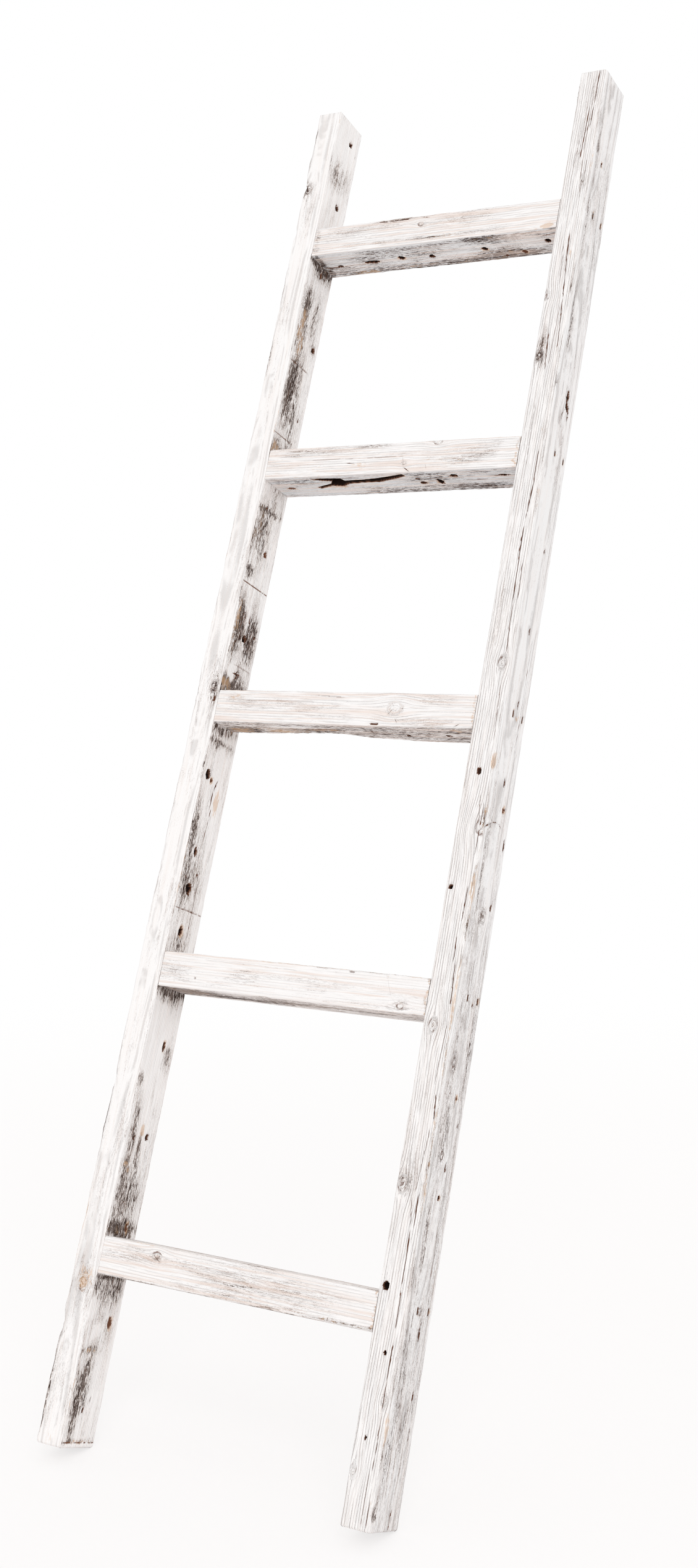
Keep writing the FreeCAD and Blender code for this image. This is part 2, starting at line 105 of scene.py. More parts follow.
LEFT_INNER = Wear(
    bare=0.07, lines=0.3, painted_shade=0.0,
    holes=(
        (42, 28, 4, 3, 5, 0.1), (54, 39, 3.5, 2.5, 4, 0.1), (142, 46, 14, 8, 3, 0.8),
        (253, 40, 10, 6, 3, 0.8), (358, 18, 7, 4.5, 10, 0.3), (362, 44, 7, 8, 12, 0.3),
        (474, 40, 11, 6, 4, 0.7), (619, 25, 11, 9, 8, 0.9), (674, 23, 13, 12, 12, 0.5),
        (686, 11, 4, 3, 4, 0), (694, 35, 4, 4, 4, 0), (722, 21, 10, 7, 10, 0.6),
        (824, 14, 14, 11, 12, 0.3), (818, 23, 6, 6, 3, 0.9), (1018, 31, 9, 10, 9, 0.3),
        (1028, 53, 4, 4, 4, 0), (1046, 35, 8, 4, 3, 0), (967, 30, 8, 4, 6, 0),
        (1143, 39, 9, 8, 3, 0.3), (1206, 20, 3, 4, 3, 0), (1351, 50, 4, 3, 4, 0.1),
        (1463, 52, 8, 8, 4, 0.4), (1575, 34, 8, 5, 3, 0.4), (1689, 38, 9, 9, 12, 0.3),
        (1797, 40, 8, 9, 10, 0.5), (1787, 57, 4, 2, 2, 0.1),
    ),
    cracks=(
        (5, 12, 60, 12, 0.9, 0.6), (112, 11, 150, 11.5, 0.9, 0.6), (175, 36, 196, 36, 1.6, 3),
        (285, 18, 276, 34, 1, 1), (306, 31, 284, 46, 1, 1), (330, 12, 405, 13, 1, 0.8),
        (335, 17, 400, 18, 0.8, 0.6), (335, 31, 370, 31, 1, 0.8), (428, 15, 429, 60, 0.6, 0.2),
        (535, 41, 545, 41, 2.2, 4), (590, 40, 606, 42, 2.4, 4), (610, 41, 682, 40, 1, 1.5),
        (730, 32, 770, 35, 1.2, 1.5), (770, 38, 782, 32, 2.2, 3), (782, 32, 806, 32, 2.6, 4),
        (806, 32, 822, 38, 2.2, 3), (875, 36, 893, 34, 2.6, 4), (958, 28, 974, 32, 1.8, 2.5),
        (967, 20, 968, 40, 1.2, 2), (1000, 12, 1060, 20, 1.2, 1), (1010, 18, 1055, 24, 1.2, 1),
        (995, 36, 1050, 38, 1, 0.8), (1000, 42, 1050, 46, 1.2, 1), (1005, 46, 1045, 50, 1.2, 1),
        (1345, 14, 1400, 16, 1, 0.7), (1360, 22, 1392, 24, 1, 0.7), (1500, 34, 1545, 46, 1, 0.7),
        (1484, 8, 1530, 20, 1, 0.7), (1566, 44, 1586, 48, 1.8, 2.5),
    ),
    kerfs=(
        (6, 0, 63.5, 1.6, 0.4), (646, 0, 63.5, 1.4, 0.7), (978, 6, 60, 1, 0.4),
        (1092, 0, 63.5, 1.4, 0.7), (1313, 0, 46, 1.6, 0.7), (1426, 0, 50, 2, 0.9),
    ),
    knots=((92, 20, 4), (967, 30, 6), (1463, 52, 5)),
    # the patches that span the face at along 180–193, 250, 535–545, 888, 940–950 and 1578–1588 lie
    # just below and above the rungs' ends and darken the wood there: partly old stain, partly
    # painted shadow where the rungs meet the rail
    patches=(
        (3, 32, 8, 80, -0.6, 0.2), (7, 32, 5, 80, 0.5, 0.7), (40, 12, 70, 12, 0.45, 0),
        (66, 20, 60, 26, 0.36, 0.1), (108, 18, 5, 36, 0.5, 0.8), (130, 22, 18, 18, -0.5, 0),
        (160, 4, 20, 16, -0.8, 0.1), (180, 30, 34, 70, 0.5, 0.1), (193, 32, 8, 70, 0.6, 0.4),
        (250, 30, 20, 70, 0.8, 0.45), (285, 26, 90, 58, 0.42, 0.05), (292, 16, 70, 34, 0.2, 0),
        (70, 16, 130, 34, 0.3, 0), (140, 34, 60, 40, 0.3, 0.1), (950, 32, 30, 60, 0.55, 0.3),
        (1500, 32, 140, 46, 0.16, 0.05), (1290, 40, 150, 30, 0.26, 0.05),
        (1380, 26, 110, 40, 0.34, 0), (1583, 30, 8, 70, 0.9, 0.1), (888, 30, 9, 70, 0.7, 0.5),
        (540, 30, 9, 70, 0.6, 0.3), (1020, 30, 110, 50, 0.25, 0), (690, 26, 120, 44, 0.28, 0),
        (1180, 26, 120, 44, 0.22, 0), (324, 10, 9, 34, 0.4, 1.0), (365, 13, 90, 14, 0.55, 0),
        (368, 31, 14, 9, 0.1, 1.0), (345, 31, 34, 9, 0.5, 0), (432, 6, 24, 14, 0.6, 0.1),
        (478, 14, 84, 44, -0.9, 0), (460, 50, 34, 22, 0.45, 0), (535, 30, 24, 70, 0.6, 0.1),
        (545, 32, 8, 70, 0.7, 0.5), (600, 20, 34, 44, 0.35, 0), (670, 16, 60, 26, 0.35, 0),
        (750, 8, 100, 18, 0.55, 0), (792, 43, 46, 14, -0.3, 0.9), (868, 32, 9, 70, 0.55, 0),
        (880, 14, 40, 28, 0.35, 0), (948, 8, 24, 34, 0.7, 0.8), (940, 30, 10, 70, 0.6, 0.3),
        (968, 18, 24, 22, -0.6, 0), (1030, 6, 110, 20, 0.45, 0.6), (1030, 16, 66, 16, 0.5, 0),
        (1022, 44, 66, 28, 0.6, 0), (1110, 8, 18, 30, 0.6, 0), (1170, 10, 90, 36, 0.4, 0.4),
        (1203, 30, 8, 70, 0.45, 0.3), (1290, 8, 34, 36, 0.6, 0.6), (1380, 16, 100, 28, 0.5, 0),
        (1470, 14, 110, 24, 0.55, 0.7), (1515, 44, 90, 24, 0.24, 0), (1525, 12, 44, 26, 0.4, 0),
        (1578, 40, 28, 60, 0.5, 0.2), (1588, 32, 10, 70, 0.7, 0.6), (1732, 24, 44, 50, 0.4, 0.1),
        (1790, 30, 60, 70, -0.2, 0),
    ),
)

LEFT_FRONT = Wear(
    bare=-0.04, lines=0.3,
    holes=(
        (124, 3, 9, 5, 1.2, 0.1), (924, 31, 9, 4, 3, 0.2), (1695, 4, 12, 4, 1.2, 0.1),
        (1704, 5, 7, 5, 1, 0.1), (63, 36, 3, 2, 1, 0.3),
    ),
    cracks=(
        (118, 4, 132, 12, 0.9, 0.8), (925, 26, 945, 22, 0.9, 0.7), (1650, 14, 1712, 6, 0.8, 0.6),
        (1640, 20, 1700, 15, 0.8, 0.5), (172, 16, 178, 30, 0.6, 0.5),
    ),
    knots=((183, 20, 7), (940, 27, 6), (1700, 9, 6)),
    patches=(
        (60, 1, 130, 7, 0.5, 0.1), (380, 0, 190, 7, 0.5, 0.1), (186, 22, 44, 26, 0.06, 0.75),
        (330, 18, 760, 46, 0.07, 0.1), (90, 18, 200, 44, 0.14, 0.05),
        (1650, 18, 300, 40, 0.02, 0.05), (930, 28, 80, 16, 0.28, 0.1), (1700, 4, 34, 12, 0.45, 0.1),
        (1740, 2, 30, 6, 0.4, 0.1), (1795, 2, 16, 6, 0.4, 0.1), (1660, 16, 110, 18, 0.12, 0),
        (1040, 30, 260, 12, 0.1, 0), (700, 26, 400, 10, 0.12, 0), (1420, 4, 60, 6, 0.3, 0.1),
        (8, 20, 16, 50, -0.2, 0.3), (1483, 20, 6, 24, 0.15, 0.5), (330, 20, 300, 30, 0.04, 0.05),
    ),
)

RIGHT_FRONT = Wear(
    bare=-0.08, lines=0.68,
    holes=(
        (91, 13.5, 3.5, 3, 5, 0), (179, 20.5, 5, 4, 5, 0.2), (247, 8, 9, 8, 9, 0.5),
        (698, 6.5, 7, 6, 9, 0.1), (840, 18.5, 9, 6, 4, 0.4), (852, 36, 10, 5, 1.5, 0.9),
        (772, 34, 8, 4, 1.0, 0.1), (357, 7, 6, 4, 2, 0.1), (1485, 3, 7, 3, 2, 0.1),
    ),
    cracks=(
        (5, 31, 27, 31, 0.9, 2), (5, 25, 60, 25, 0.7, 0.9), (60, 28, 90, 28.5, 1, 2),
        (90, 28.5, 150, 28, 0.7, 1.5), (150, 28, 190, 28.3, 1.2, 2), (205, 28, 245, 27.6, 0.9, 2),
        (250, 27.5, 310, 26.5, 1.1, 2), (310, 30, 350, 30, 1, 2), (315, 26, 345, 22, 0.7, 1),
        (350, 25, 420, 31, 0.7, 1), (430, 34, 460, 31, 0.9, 2), (470, 27, 540, 31, 0.7, 1),
        (560, 31, 610, 28, 1, 2), (610, 26, 640, 25, 0.9, 2), (660, 28, 700, 29, 0.9, 2),
        (740, 31, 800, 32, 0.7, 1.5), (780, 29, 815, 25, 0.7, 0.9), (880, 31, 950, 29, 0.7, 1),
        (985, 29, 1060, 26.5, 0.8, 1.5), (1060, 26.5, 1160, 24.3, 0.9, 2),
        (1060, 33, 1110, 31, 0.8, 1.5), (1165, 25, 1222, 29, 1, 2), (1222, 28, 1262, 28, 0.9, 2),
        (1240, 14, 1330, 12, 0.6, 0.7), (1375, 18, 1430, 15, 1, 1.5),
        (1380, 22, 1470, 25, 0.7, 0.9), (1405, 31, 1480, 27, 0.8, 1.5),
        (1480, 27, 1520, 24.5, 1, 2), (1520, 24.5, 1575, 22, 1, 2), (1500, 19, 1560, 16, 0.7, 0.9),
        (1630, 27, 1690, 23, 0.7, 1), (1660, 29, 1690, 30, 0.9, 1), (1690, 19, 1770, 21, 1.2, 1.5),
        (1700, 22, 1760, 24, 0.9, 1), (1740, 26, 1828, 28, 0.9, 2), (1640, 10, 1720, 14, 0.7, 0.7),
        (352, 3, 362, 12, 0.7, 1), (765, 30, 774, 37, 0.7, 0.8), (1385, 4, 1400, 10, 0.9, 1),
        (1400, 6, 1425, 11, 0.9, 1),
    ),
    knots=(
        (57, 5, 4), (131, 29, 4), (357, 8, 7), (536, 13, 6), (773, 35, 9), (978, 26, 6),
        (1398, 7, 6), (1485, 3, 5),
    ),
    patches=(
        (1410, 8, 70, 16, 0.42, 0), (1720, 18, 130, 16, 0.3, 0.05), (1040, 16, 130, 22, 0.2, 0),
        (370, 16, 60, 28, 0.28, 0), (105, 38, 44, 8, 0, 0.8), (360, 37, 90, 8, 0.1, 0.55),
        (560, 36, 200, 9, 0.15, 0.6), (700, 36, 100, 9, 0.15, 0.6), (420, 36, 130, 8, 0.12, 0.6),
        (852, 37, 20, 10, 0.35, 0.8), (1200, 36, 50, 10, 0.3, 0.3), (1655, 30, 34, 12, 0.4, 0.3),
        (1350, 4, 66, 12, -0.5, 0), (900, 12, 70, 20, -0.35, 0), (20, 30, 40, 14, 0.05, 0.45),
        (1290, 28, 12, 10, 0.1, 0.5), (1545, 28, 14, 6, 0, 0.6), (1800, 26, 60, 16, 0.2, 0.2),
        (1040, 37, 300, 8, -0.1, 0.25), (1300, 36, 160, 10, 0.15, 0.35),
        (260, 36, 60, 10, 0.15, 0.1),
    ),
)

RIGHT_OUTER = Wear(
    bare=0.05, lines=0.4, painted_shade=0.3,
    holes=(
        (205, 41, 14, 5, 9, 0), (383, 40, 11, 4.5, 9, 0), (349, 35, 5, 6, 5, 0.5),
        (137, 49, 9, 4, 6, 0), (97, 54, 13, 3, 6, 0.1), (461, 40, 4, 5, 3, 0.9),
        (430, 54, 3, 5, 3, 0.2), (12, 41, 14, 4, 3, 0.3), (685, 50, 5, 5, 4, 0.4),
        (804, 43, 5, 9, 3, 0.9), (835, 34, 12, 4.5, 8, 0), (763, 58, 14, 4, 6, 0.1),
        (936, 38, 10, 4, 8, 0), (1031, 37, 5, 5, 4, 0.4), (1140, 43, 5, 5, 4, 0.4),
        (1352, 40, 26, 8, 10, 0.35), (1331, 47, 12, 4, 7, 0), (1340, 44, 9, 7, 8, 0),
        (1295, 38, 30, 9, 1.6, 0.1), (1252, 39, 14, 9, 1.3, 0.2), (1235, 32, 12, 7, 1.0, 0),
        (1696, 29, 7, 5, 4, 0.6), (672, 33, 6, 4, 2, 0.2), (568, 43, 4, 4, 3, 0.5),
    ),
    cracks=(
        (148, 47, 192, 45, 0.9, 1), (245, 47, 290, 46.5, 1, 1.2), (28, 43, 70, 44, 0.8, 0.8),
        (70, 44.5, 100, 44, 0.8, 0.8), (440, 52, 600, 52, 0.8, 0.5), (880, 49, 1025, 47, 1, 1.2),
        (771, 0, 782, 18, 1.8, 1.7), (782, 18, 786, 34, 1.6, 1.5), (786, 34, 780, 46, 1.5, 1.2),
        (1219, 56, 1252, 55, 0.9, 1), (1315, 24, 1338, 37, 1.2, 1.2), (1545, 56, 1572, 53, 1, 1),
        (1460, 58, 1500, 56, 1.2, 0.8), (390, 20, 391, 26, 1.4, 1.2), (391, 26, 398, 33, 1.4, 1.2),
        (462, 8, 464, 26, 1, 0.8), (405, 50, 412, 62, 0.9, 0.8), (620, 50, 660, 49, 0.9, 0.6),
        (1480, 30, 1484, 52, 0.7, 0.4), (0, 39, 13, 42, 1.6, 1.6), (130, 60, 200, 58, 0.8, 0.5),
    ),
    knots=((672, 33, 6.5), (395, 26, 4), (226, 34, 3), (499, 19, 4)),
    # the first patch, a thin grey band down the front of this side near the foot, is painted shade
    patches=(
        (140, 15, 320, 26, 0.13, 0), (60, 10, 120, 16, 0.1, 0), (160, 42, 320, 40, 0.1, 0.05),
        (450, 18, 330, 26, 0.2, 0), (330, 32, 900, 80, 0.16, 0.08), (1480, 32, 520, 80, 0.1, 0.05),
        (560, 52, 200, 14, 0.22, 0), (760, 12, 300, 10, 0.2, 0), (1540, 12, 200, 14, 0.22, 0.05),
        (1440, 14, 90, 10, 0.3, 0.15), (1690, 12, 160, 12, 0.3, 0), (240, 55, 110, 10, 0.05, 0.5),
        (1610, 48, 180, 30, 0.1, 0.05), (1330, 56, 200, 12, -0.3, 0), (300, 34, 120, 20, -0.15, 0),
        (900, 2, 1900, 5, -0.3, 0.12), (105, 0, 44, 9, 0, 0.8), (360, 0, 90, 9, 0.1, 0.6),
        (600, 0, 70, 9, 0.1, 0.6), (700, 0, 80, 9, 0.15, 0.6), (853, 1, 20, 12, 0.3, 0.8),
        (1200, 1, 60, 8, 0.5, 0.3), (1310, 30, 40, 14, 0.25, 0.05), (1050, 30, 300, 40, -0.1, 0),
        (1260, 40, 80, 16, 0.15, 0.1), (921, 39, 7, 12, 0.2, 0.7), (1380, 8, 400, 6, -0.3, 0.3),
    ),
)

PLAIN_SIDE = Wear(
    bare=0.16, lines=0.4, painted_shade=0.1,
    holes=(
        (182, 24, 8, 4, 7, 0.2), (448, 47, 6, 5, 5, 0.5), (760, 20, 9, 4, 8, 0.2),
        (1120, 42, 6, 5, 6, 0.4), (1452, 28, 8, 5, 6, 0.2), (1716, 36, 6, 5, 7, 0.5),
    ),
    cracks=(
        (60, 40, 190, 42, 1.1, 1.6), (380, 22, 520, 20, 1, 1.2), (700, 50, 860, 47, 1.2, 1.8),
        (1180, 30, 1330, 33, 1.1, 1.5), (1560, 18, 1760, 22, 1.2, 1.8),
    ),
    knots=((640, 30, 7), (1290, 14, 6)),
    patches=(
        (120, 30, 160, 40, 0.3, 0.1), (520, 44, 180, 26, 0.35, 0), (900, 20, 200, 30, -0.4, 0),
        (1100, 46, 140, 20, 0.35, 0.3), (1400, 20, 200, 26, 0.3, 0), (1650, 40, 120, 30, -0.3, 0),
    ),
)

PLAIN_BACK = Wear(
    bare=0.18, lines=0.6, painted_shade=0.1,
    holes=((250, 14, 8, 5, 7, 0.3), (830, 25, 6, 5, 6, 0.4), (1330, 11, 8, 5, 7, 0.2)),
    cracks=(
        (30, 20, 260, 23, 1.2, 2), (420, 12, 620, 15, 1.1, 1.6), (880, 26, 1100, 22, 1.2, 2),
        (1240, 18, 1420, 20, 1.1, 1.6), (1580, 10, 1800, 14, 1.2, 2),
    ),
    knots=((560, 24, 7), (1180, 10, 6), (1690, 26, 6)),
    patches=(
        (200, 20, 240, 30, 0.25, 0.1), (700, 20, 200, 30, -0.3, 0), (1050, 20, 160, 30, 0.3, 0.1),
        (1500, 20, 240, 30, 0.25, 0),
    ),
)

RUNG_FRONTS = {
    1: Wear(
        bare=0.04, lines=0.42,
        cracks=(
            (100, 42, 155, 41, 1.1, 0.9), (168, 43, 186, 40, 1.2, 1), (180, 8, 285, 9, 0.9, 0.6),
            (20, 30, 90, 31, 0.8, 0.5),
        ),
        knots=((172, 31, 3.5),),
        patches=(
            (230, 8, 120, 6, 0.3, 0.55), (130, 42, 70, 5, 0.45, 0.1), (340, 26, 80, 44, -0.4, 0.1),
            (368, 5, 24, 11, 0, 1.0), (60, 30, 140, 22, 0.22, 0.15), (100, 9, 160, 8, 0.15, 0.35),
            (230, 30, 130, 16, 0.18, 0.15), (190, 1, 400, 5, -0.6, 0), (5, 20, 8, 50, 0.3, 0.2),
        ),
    ),
    2: Wear(
        bare=-0.02, lines=0.45,
        cracks=(
            (70, 25, 215, 24, 0.5, 0.8), (125, 18, 142, 17, 1.2, 1), (212, 24, 216, 8, 0.6, 0.6),
            (216, 8, 226, 1, 1.2, 1.6), (248, 12, 251, 3, 0.6, 0.5), (302, 16, 303, 6, 0.6, 0.4),
        ),
        knots=((262, 43, 5), (216, 14, 3)),
        patches=(
            (270, 12, 110, 22, 0.12, 0.45), (320, 24, 90, 30, 0.28, 0.15),
            (150, 14, 30, 14, 0.1, 0.5), (85, 12, 44, 10, 0.1, 0.45), (60, 37, 130, 14, 0.35, 0),
            (170, 41, 60, 7, 0.45, 0), (367, 22, 16, 54, -0.8, 0.1), (190, 1, 400, 5, -0.6, 0),
            (20, 9, 40, 12, 0.1, 0.4), (379, 22, 6, 70, 0.2, 0.7),
        ),
    ),
    3: Wear(
        bare=-0.02, lines=0.4,
        holes=((243, 3, 14, 2.6, 3, 0.1),),
        cracks=(
            (258, 14, 267, 24, 0.7, 0.7), (270, 12, 276, 4, 0.8, 0.8), (355, 2, 363, 6, 1.2, 1.5),
            (30, 30, 150, 31, 0.8, 0.5), (150, 39, 196, 37, 0.9, 0.7),
        ),
        knots=((269, 23, 8),),
        patches=(
            (28, 36, 34, 12, 0.25, 0.55), (325, 36, 70, 16, 0.3, 0.35), (315, 8, 90, 13, 0.3, 0.25),
            (380, 22, 5, 70, 0.3, 0.7), (368, 22, 22, 54, -0.6, 0.15), (120, 24, 220, 24, 0.16, 0),
            (190, 1, 400, 4, -0.4, 0), (225, 22, 60, 40, -0.12, 0),
        ),
    ),
    4: Wear(
        bare=-0.03, lines=0.2,
        holes=((53, 14, 3, 2.6, 2, 0.1), (275, 42, 8, 2.6, 2, 0.1), (324, 40, 3, 2.6, 1, 0.6)),
        cracks=(
            (324, 40, 333, 18, 0.5, 0.3), (333, 18, 346, 5, 0.5, 0.3), (366, 42, 358, 24, 0.5, 0.2),
            (10, 22, 40, 22, 0.9, 0.6), (60, 38, 200, 37, 0.8, 0.4),
        ),
        knots=((347, 8, 3.6),),
        patches=(
            (20, 22, 60, 26, 0.2, 0.1), (345, 8, 36, 12, 0.2, 0.3), (150, 22, 260, 20, 0.1, 0.1),
            (380, 22, 5, 70, 0.3, 0.7), (190, 1, 400, 4, -0.4, 0.1),
        ),
    ),
    5: Wear(
        bare=0.03, lines=0.32,
        holes=((85, 27, 4, 3, 1.2, 0.2),),
        cracks=(
            (74, 34, 86, 26, 0.9, 1), (120, 32, 260, 30, 0.8, 0.5), (300, 30, 370, 28, 0.8, 0.4),
            (355, 0, 357, 6, 1, 1), (322, 1, 324, 7, 1, 1), (376, 6, 380, 2, 1.2, 1.2),
        ),
        knots=((80, 33, 5),),
        patches=(
            (215, 24, 190, 32, 0.24, 0.3), (335, 3, 110, 6, 0.35, 0.5), (380, 22, 5, 70, 0.3, 0.7),
            (190, 4, 220, 6, 0.2, 0.4), (45, 24, 70, 26, 0.18, 0.2), (365, 30, 40, 30, -0.25, 0),
        ),
    ),
}

RUNG_UNDERSIDES = {
    1: Wear(
        bare=0.43, lines=0.3, painted_shade=0.7,
        holes=(
            (29, 36, 9, 6, 7, 0.3), (82, 34, 24, 8, 7, 0.5), (131, 32, 9, 9, 6, 0.8),
            (177, 37, 10, 8, 8, 0.2), (261, 33, 8, 9, 6, 0.8), (288, 35, 3, 3, 2, 0.3),
            (357, 30, 9, 10, 8, 0.4), (314, 50, 8, 9, 3, 0.6), (285, 56, 6, 6, 3, 0.5),
        ),
        cracks=(
            (1, 38, 28, 38, 2.2, 3), (35, 37, 72, 37, 1, 1), (350, 18, 380, 13, 2, 2.5),
            (195, 60, 222, 30, 0.7, 0.3), (96, 4, 97, 30, 0.8, 0.5), (317, 6, 318, 44, 0.8, 0.4),
        ),
        patches=(
            (270, 6, 80, 14, 0.5, 0.45), (120, 18, 180, 20, 0.1, 0.35),
            (200, 57, 280, 14, 0.4, 0.5), (290, 50, 90, 26, 0.5, 0.4), (60, 58, 70, 13, 0.3, 0.7),
            (5, 38, 10, 70, 0.8, 0.4), (40, 20, 60, 24, -0.3, 0), (220, 28, 50, 30, -0.25, 0),
            (190, 1, 400, 4, -0.5, 0), (335, 30, 40, 30, -0.2, 0),
        ),
    ),
    2: Wear(
        bare=0.35, lines=0.25, painted_shade=1.0,
        holes=(
            (24, 35, 12, 8, 2.5, 0.7), (228, 22, 7, 4, 3, 0.1), (231, 35, 10, 9, 4, 0.6),
            (257, 33, 9, 15, 5, 0.7), (284, 18, 11, 9, 8, 0.5), (354, 22, 18, 6, 6, 0.3),
        ),
        cracks=(
            (112, 10, 146, 10, 2.2, 3), (240, 0, 250, 8, 1.2, 1.5), (250, 8, 252, 20, 1.2, 1.5),
            (236, 12, 258, 10, 1, 1), (290, 31, 330, 32, 1.6, 1.6), (332, 22, 350, 23, 2.4, 3),
        ),
        rot=(
            (70, 10), (86, 8), (98, 9), (114, 10), (118, 18), (150, 17), (172, 15), (196, 10),
            (212, 7), (214, 11), (200, 17), (178, 23), (168, 26), (150, 25), (120, 27), (108, 34),
            (98, 32), (90, 31), (70, 38), (68, 34), (94, 25), (99, 17), (84, 14),
        ),
        patches=(
            (310, 52, 100, 18, 0.42, 0), (180, 57, 160, 12, 0.25, 0),
            (150, 28, 110, 9, -0.35, 0.35), (105, 34, 34, 12, 0.5, 0.9),
            (250, 24, 50, 34, 0.25, 0.2), (190, 1, 400, 4, -0.5, 0), (3, 30, 8, 70, -0.3, 0),
            (60, 45, 120, 26, -0.15, 0),
        ),
    ),
    3: Wear(
        bare=0.49, lines=0.3, painted_shade=0.3,
        holes=((226, 28, 4, 5, 4, 0.2), (274, 39, 7, 10, 7, 0.2), (333, 35, 9, 8, 7, 0.2)),
        cracks=(
            (5, 10, 60, 9, 1.4, 1.5), (100, 6, 140, 10, 1.4, 1), (120, 26, 180, 22, 2.5, 3),
            (180, 22, 188, 30, 2, 2), (345, 14, 358, 2, 1.2, 0.6),
        ),
        patches=(
            (20, 36, 60, 30, 0.6, 0.8), (90, 32, 110, 24, 0.2, 0.8), (155, 25, 60, 12, 0.6, 0.8),
            (290, 30, 170, 60, 0.05, 0.1), (110, 18, 120, 8, -0.4, 0.3),
            (352, 12, 14, 16, 0.1, 0.8), (190, 1, 400, 4, -0.3, 0),
        ),
    ),
    4: Wear(
        bare=0.40, lines=0.3, painted_shade=0.3,
        holes=((80, 28, 7, 4, 6, 0.3), (244, 35, 7, 4, 6, 0.3)),
        cracks=((144, 39, 184, 40, 1.6, 2),),
        patches=(
            (190, 30, 380, 30, 0.2, 0.3), (30, 30, 110, 60, 0.45, 0.5),
            (120, 40, 160, 30, 0.3, 0.3), (190, 58, 380, 12, -0.2, 0), (190, 1, 400, 5, -0.3, 0.1),
        ),
    ),
    5: Wear(
        bare=0.42, lines=0.35, painted_shade=0.4,
        holes=((126, 32, 7, 4, 6, 0.4), (297, 27, 7, 4, 6, 0.3)),
        cracks=((40, 20, 150, 22, 1.2, 1.6),),
        patches=((300, 50, 140, 30, 0.3, 0.6), (100, 20, 160, 26, 0.15, 0.2)),
    ),
}

RUNG_TOP = Wear(
    bare=0.22, lines=0.5,
    cracks=((60, 30, 190, 33, 1, 1.4), (230, 48, 350, 45, 1, 1.2)),
    patches=((190, 50, 300, 20, 0.2, 0.1), (100, 14, 160, 20, -0.2, 0)),
)

RUNG_BACK = Wear(
    bare=0.18, lines=0.5, painted_shade=0.1,
    holes=((96, 20, 6, 4, 5, 0.4), (300, 28, 7, 4, 6, 0.3)),
    cracks=((30, 12, 170, 15, 1.1, 1.6), (210, 32, 360, 30, 1.1, 1.6)),
    knots=((215, 18, 6),),
    patches=((120, 22, 160, 30, 0.2, 0.1), (300, 20, 120, 30, -0.2, 0)),
)

# splinters lost from a rail's front outer edge: along, length, bite
EDGE_CHIPS = {
    "left_rail": ((413, 20, 2.6), (123, 26, 2.6), (924, 16, 1.0), (1620, 18, 1.6), (1694, 26, 2.4)),
    "right_rail": ((1485, 22, 2.0), (1348, 24, 2.2), (604, 18, 2.0), (7, 22, 2.0), (772, 20, 2.2)),
}

# how far from the front a rung's underside is sound, before its rear edge has worn away
WORN_EDGES = {
    3: ((0, 48), (60, 47), (100, 43), (150, 38.5), (175, 39.5), (200, 47), (215, 53), (262, 58),
        (310, 63.5)),
    5: ((99, 63.5), (145, 48), (198, 51), (251, 42), (320, 46), (381, 41)),
}
WORN_RISE = 14.2


# ---- sizes and colours that a user would change ------------------------------------------


def length_property(name, description, default, least=0.01):
    """A length, in metres, that the panel shows."""
    return FloatProperty(name=name, description=description, default=default, min=least,
                         unit="LENGTH", subtype="DISTANCE")


class LadderSizes(bpy.types.PropertyGroup):
    """The timbers' sizes, which match the CAD model."""

    rail_length: length_property("Rail length", "Length of a rail along its grain", 1.8288, 0.5)
    rail_width: length_property("Rail width", "Width of a rail's front face", 0.0381)
    timber_depth: length_property(
        "Timber depth", "Depth of rails and rungs from front to back", 0.0635)
    inner_span: length_property(
        "Inner span", "Distance between the rails, which is a rung's length", 0.381, 0.1)
    rung_height: length_property("Rung height", "Height of a rung's front face", 0.0445)
    lowest_rung_top: length_property(
        "Lowest rung top", "Distance up the rails to the lowest rung's top", 0.241, 0.05)
    rung_pitch: length_property(
        "Rung pitch", "Distance up the rails from one rung to the next", 0.34775, 0.05)
    arris_radius: length_property(
        "Arris radius", "Rounding of the timbers' long edges", 0.002, 0.0)
    worn_arris_radius: length_property(
        "Worn arris radius", "Rounding of each rail's front outer edge", 0.004, 0.0)
    ring_pitch: length_property("Ring pitch", "Distance between growth rings", 0.003, 0.001)
    lean_angle: FloatProperty(
        name="Lean", description="How far the ladder leans back from upright",
        default=math.radians(20), unit="ROTATION", subtype="ANGLE")


def colour_property(name, description, hex_colour):
    """A colour that the panel shows, given as an sRGB hex value."""
    return FloatVectorProperty(
        name=name, description=description, default=linear(hex_colour), size=4,
        min=0.0, max=1.0, subtype="COLOR")


class LadderColours(bpy.types.PropertyGroup):
    """The colours of the worn paint, wood and iron, and of the floor."""

    paint: colour_property("Limewash", "Chalky paint where it is sound", "#FBF9F8")
    thin_paint: colour_property("Thin limewash", "Paint rubbed thin over the wood", "#DED6D2")
    wood: colour_property("Weathered wood", "Bare softwood, silvered by weather", "#B3A7A1")
    dark_wood: colour_property("Dark wood", "Dirt and old stain in bare wood", "#33241F")
    # painted shade: the paint and wood colours that faces turned from the light are tinted towards
    paint_in_painted_shade: colour_property("Cool limewash", "Grimy paint on shaded faces", "#DADDE0")
    wood_in_painted_shade: colour_property("Cool grey wood", "Silver-grey wood on shaded faces", "#A5A6AA")
    warm_stain: colour_property("Warm stain", "Resin-stained wood in worn places", "#DDB690")
    blush: colour_property("Blush", "Pink primer showing through the paint", "#EDDACF")
    groove: colour_property("Groove", "Dirt in the open grain", "#6E5F59")
    # hollow_rim and hollow darken holes, splits and the rotted hollow, more the deeper they go:
    # partly dirt and rotted wood, partly painted shade inside the recesses
    hollow_rim: colour_property("Hollow rim", "Brown wood at the mouths of holes", "#744C38")
    hollow: colour_property("Hollow", "Rotted wood inside holes and splits", "#20110C")
    iron: colour_property("Iron", "Old iron nail heads", "#4A3B33")
    rust: colour_property("Rust", "Rust on the nail heads", "#7A4728")
    floor: colour_property("Floor", "Pale studio floor", "#FEFBFA")


# ---- numbers for wear --------------------------------------------------------------------


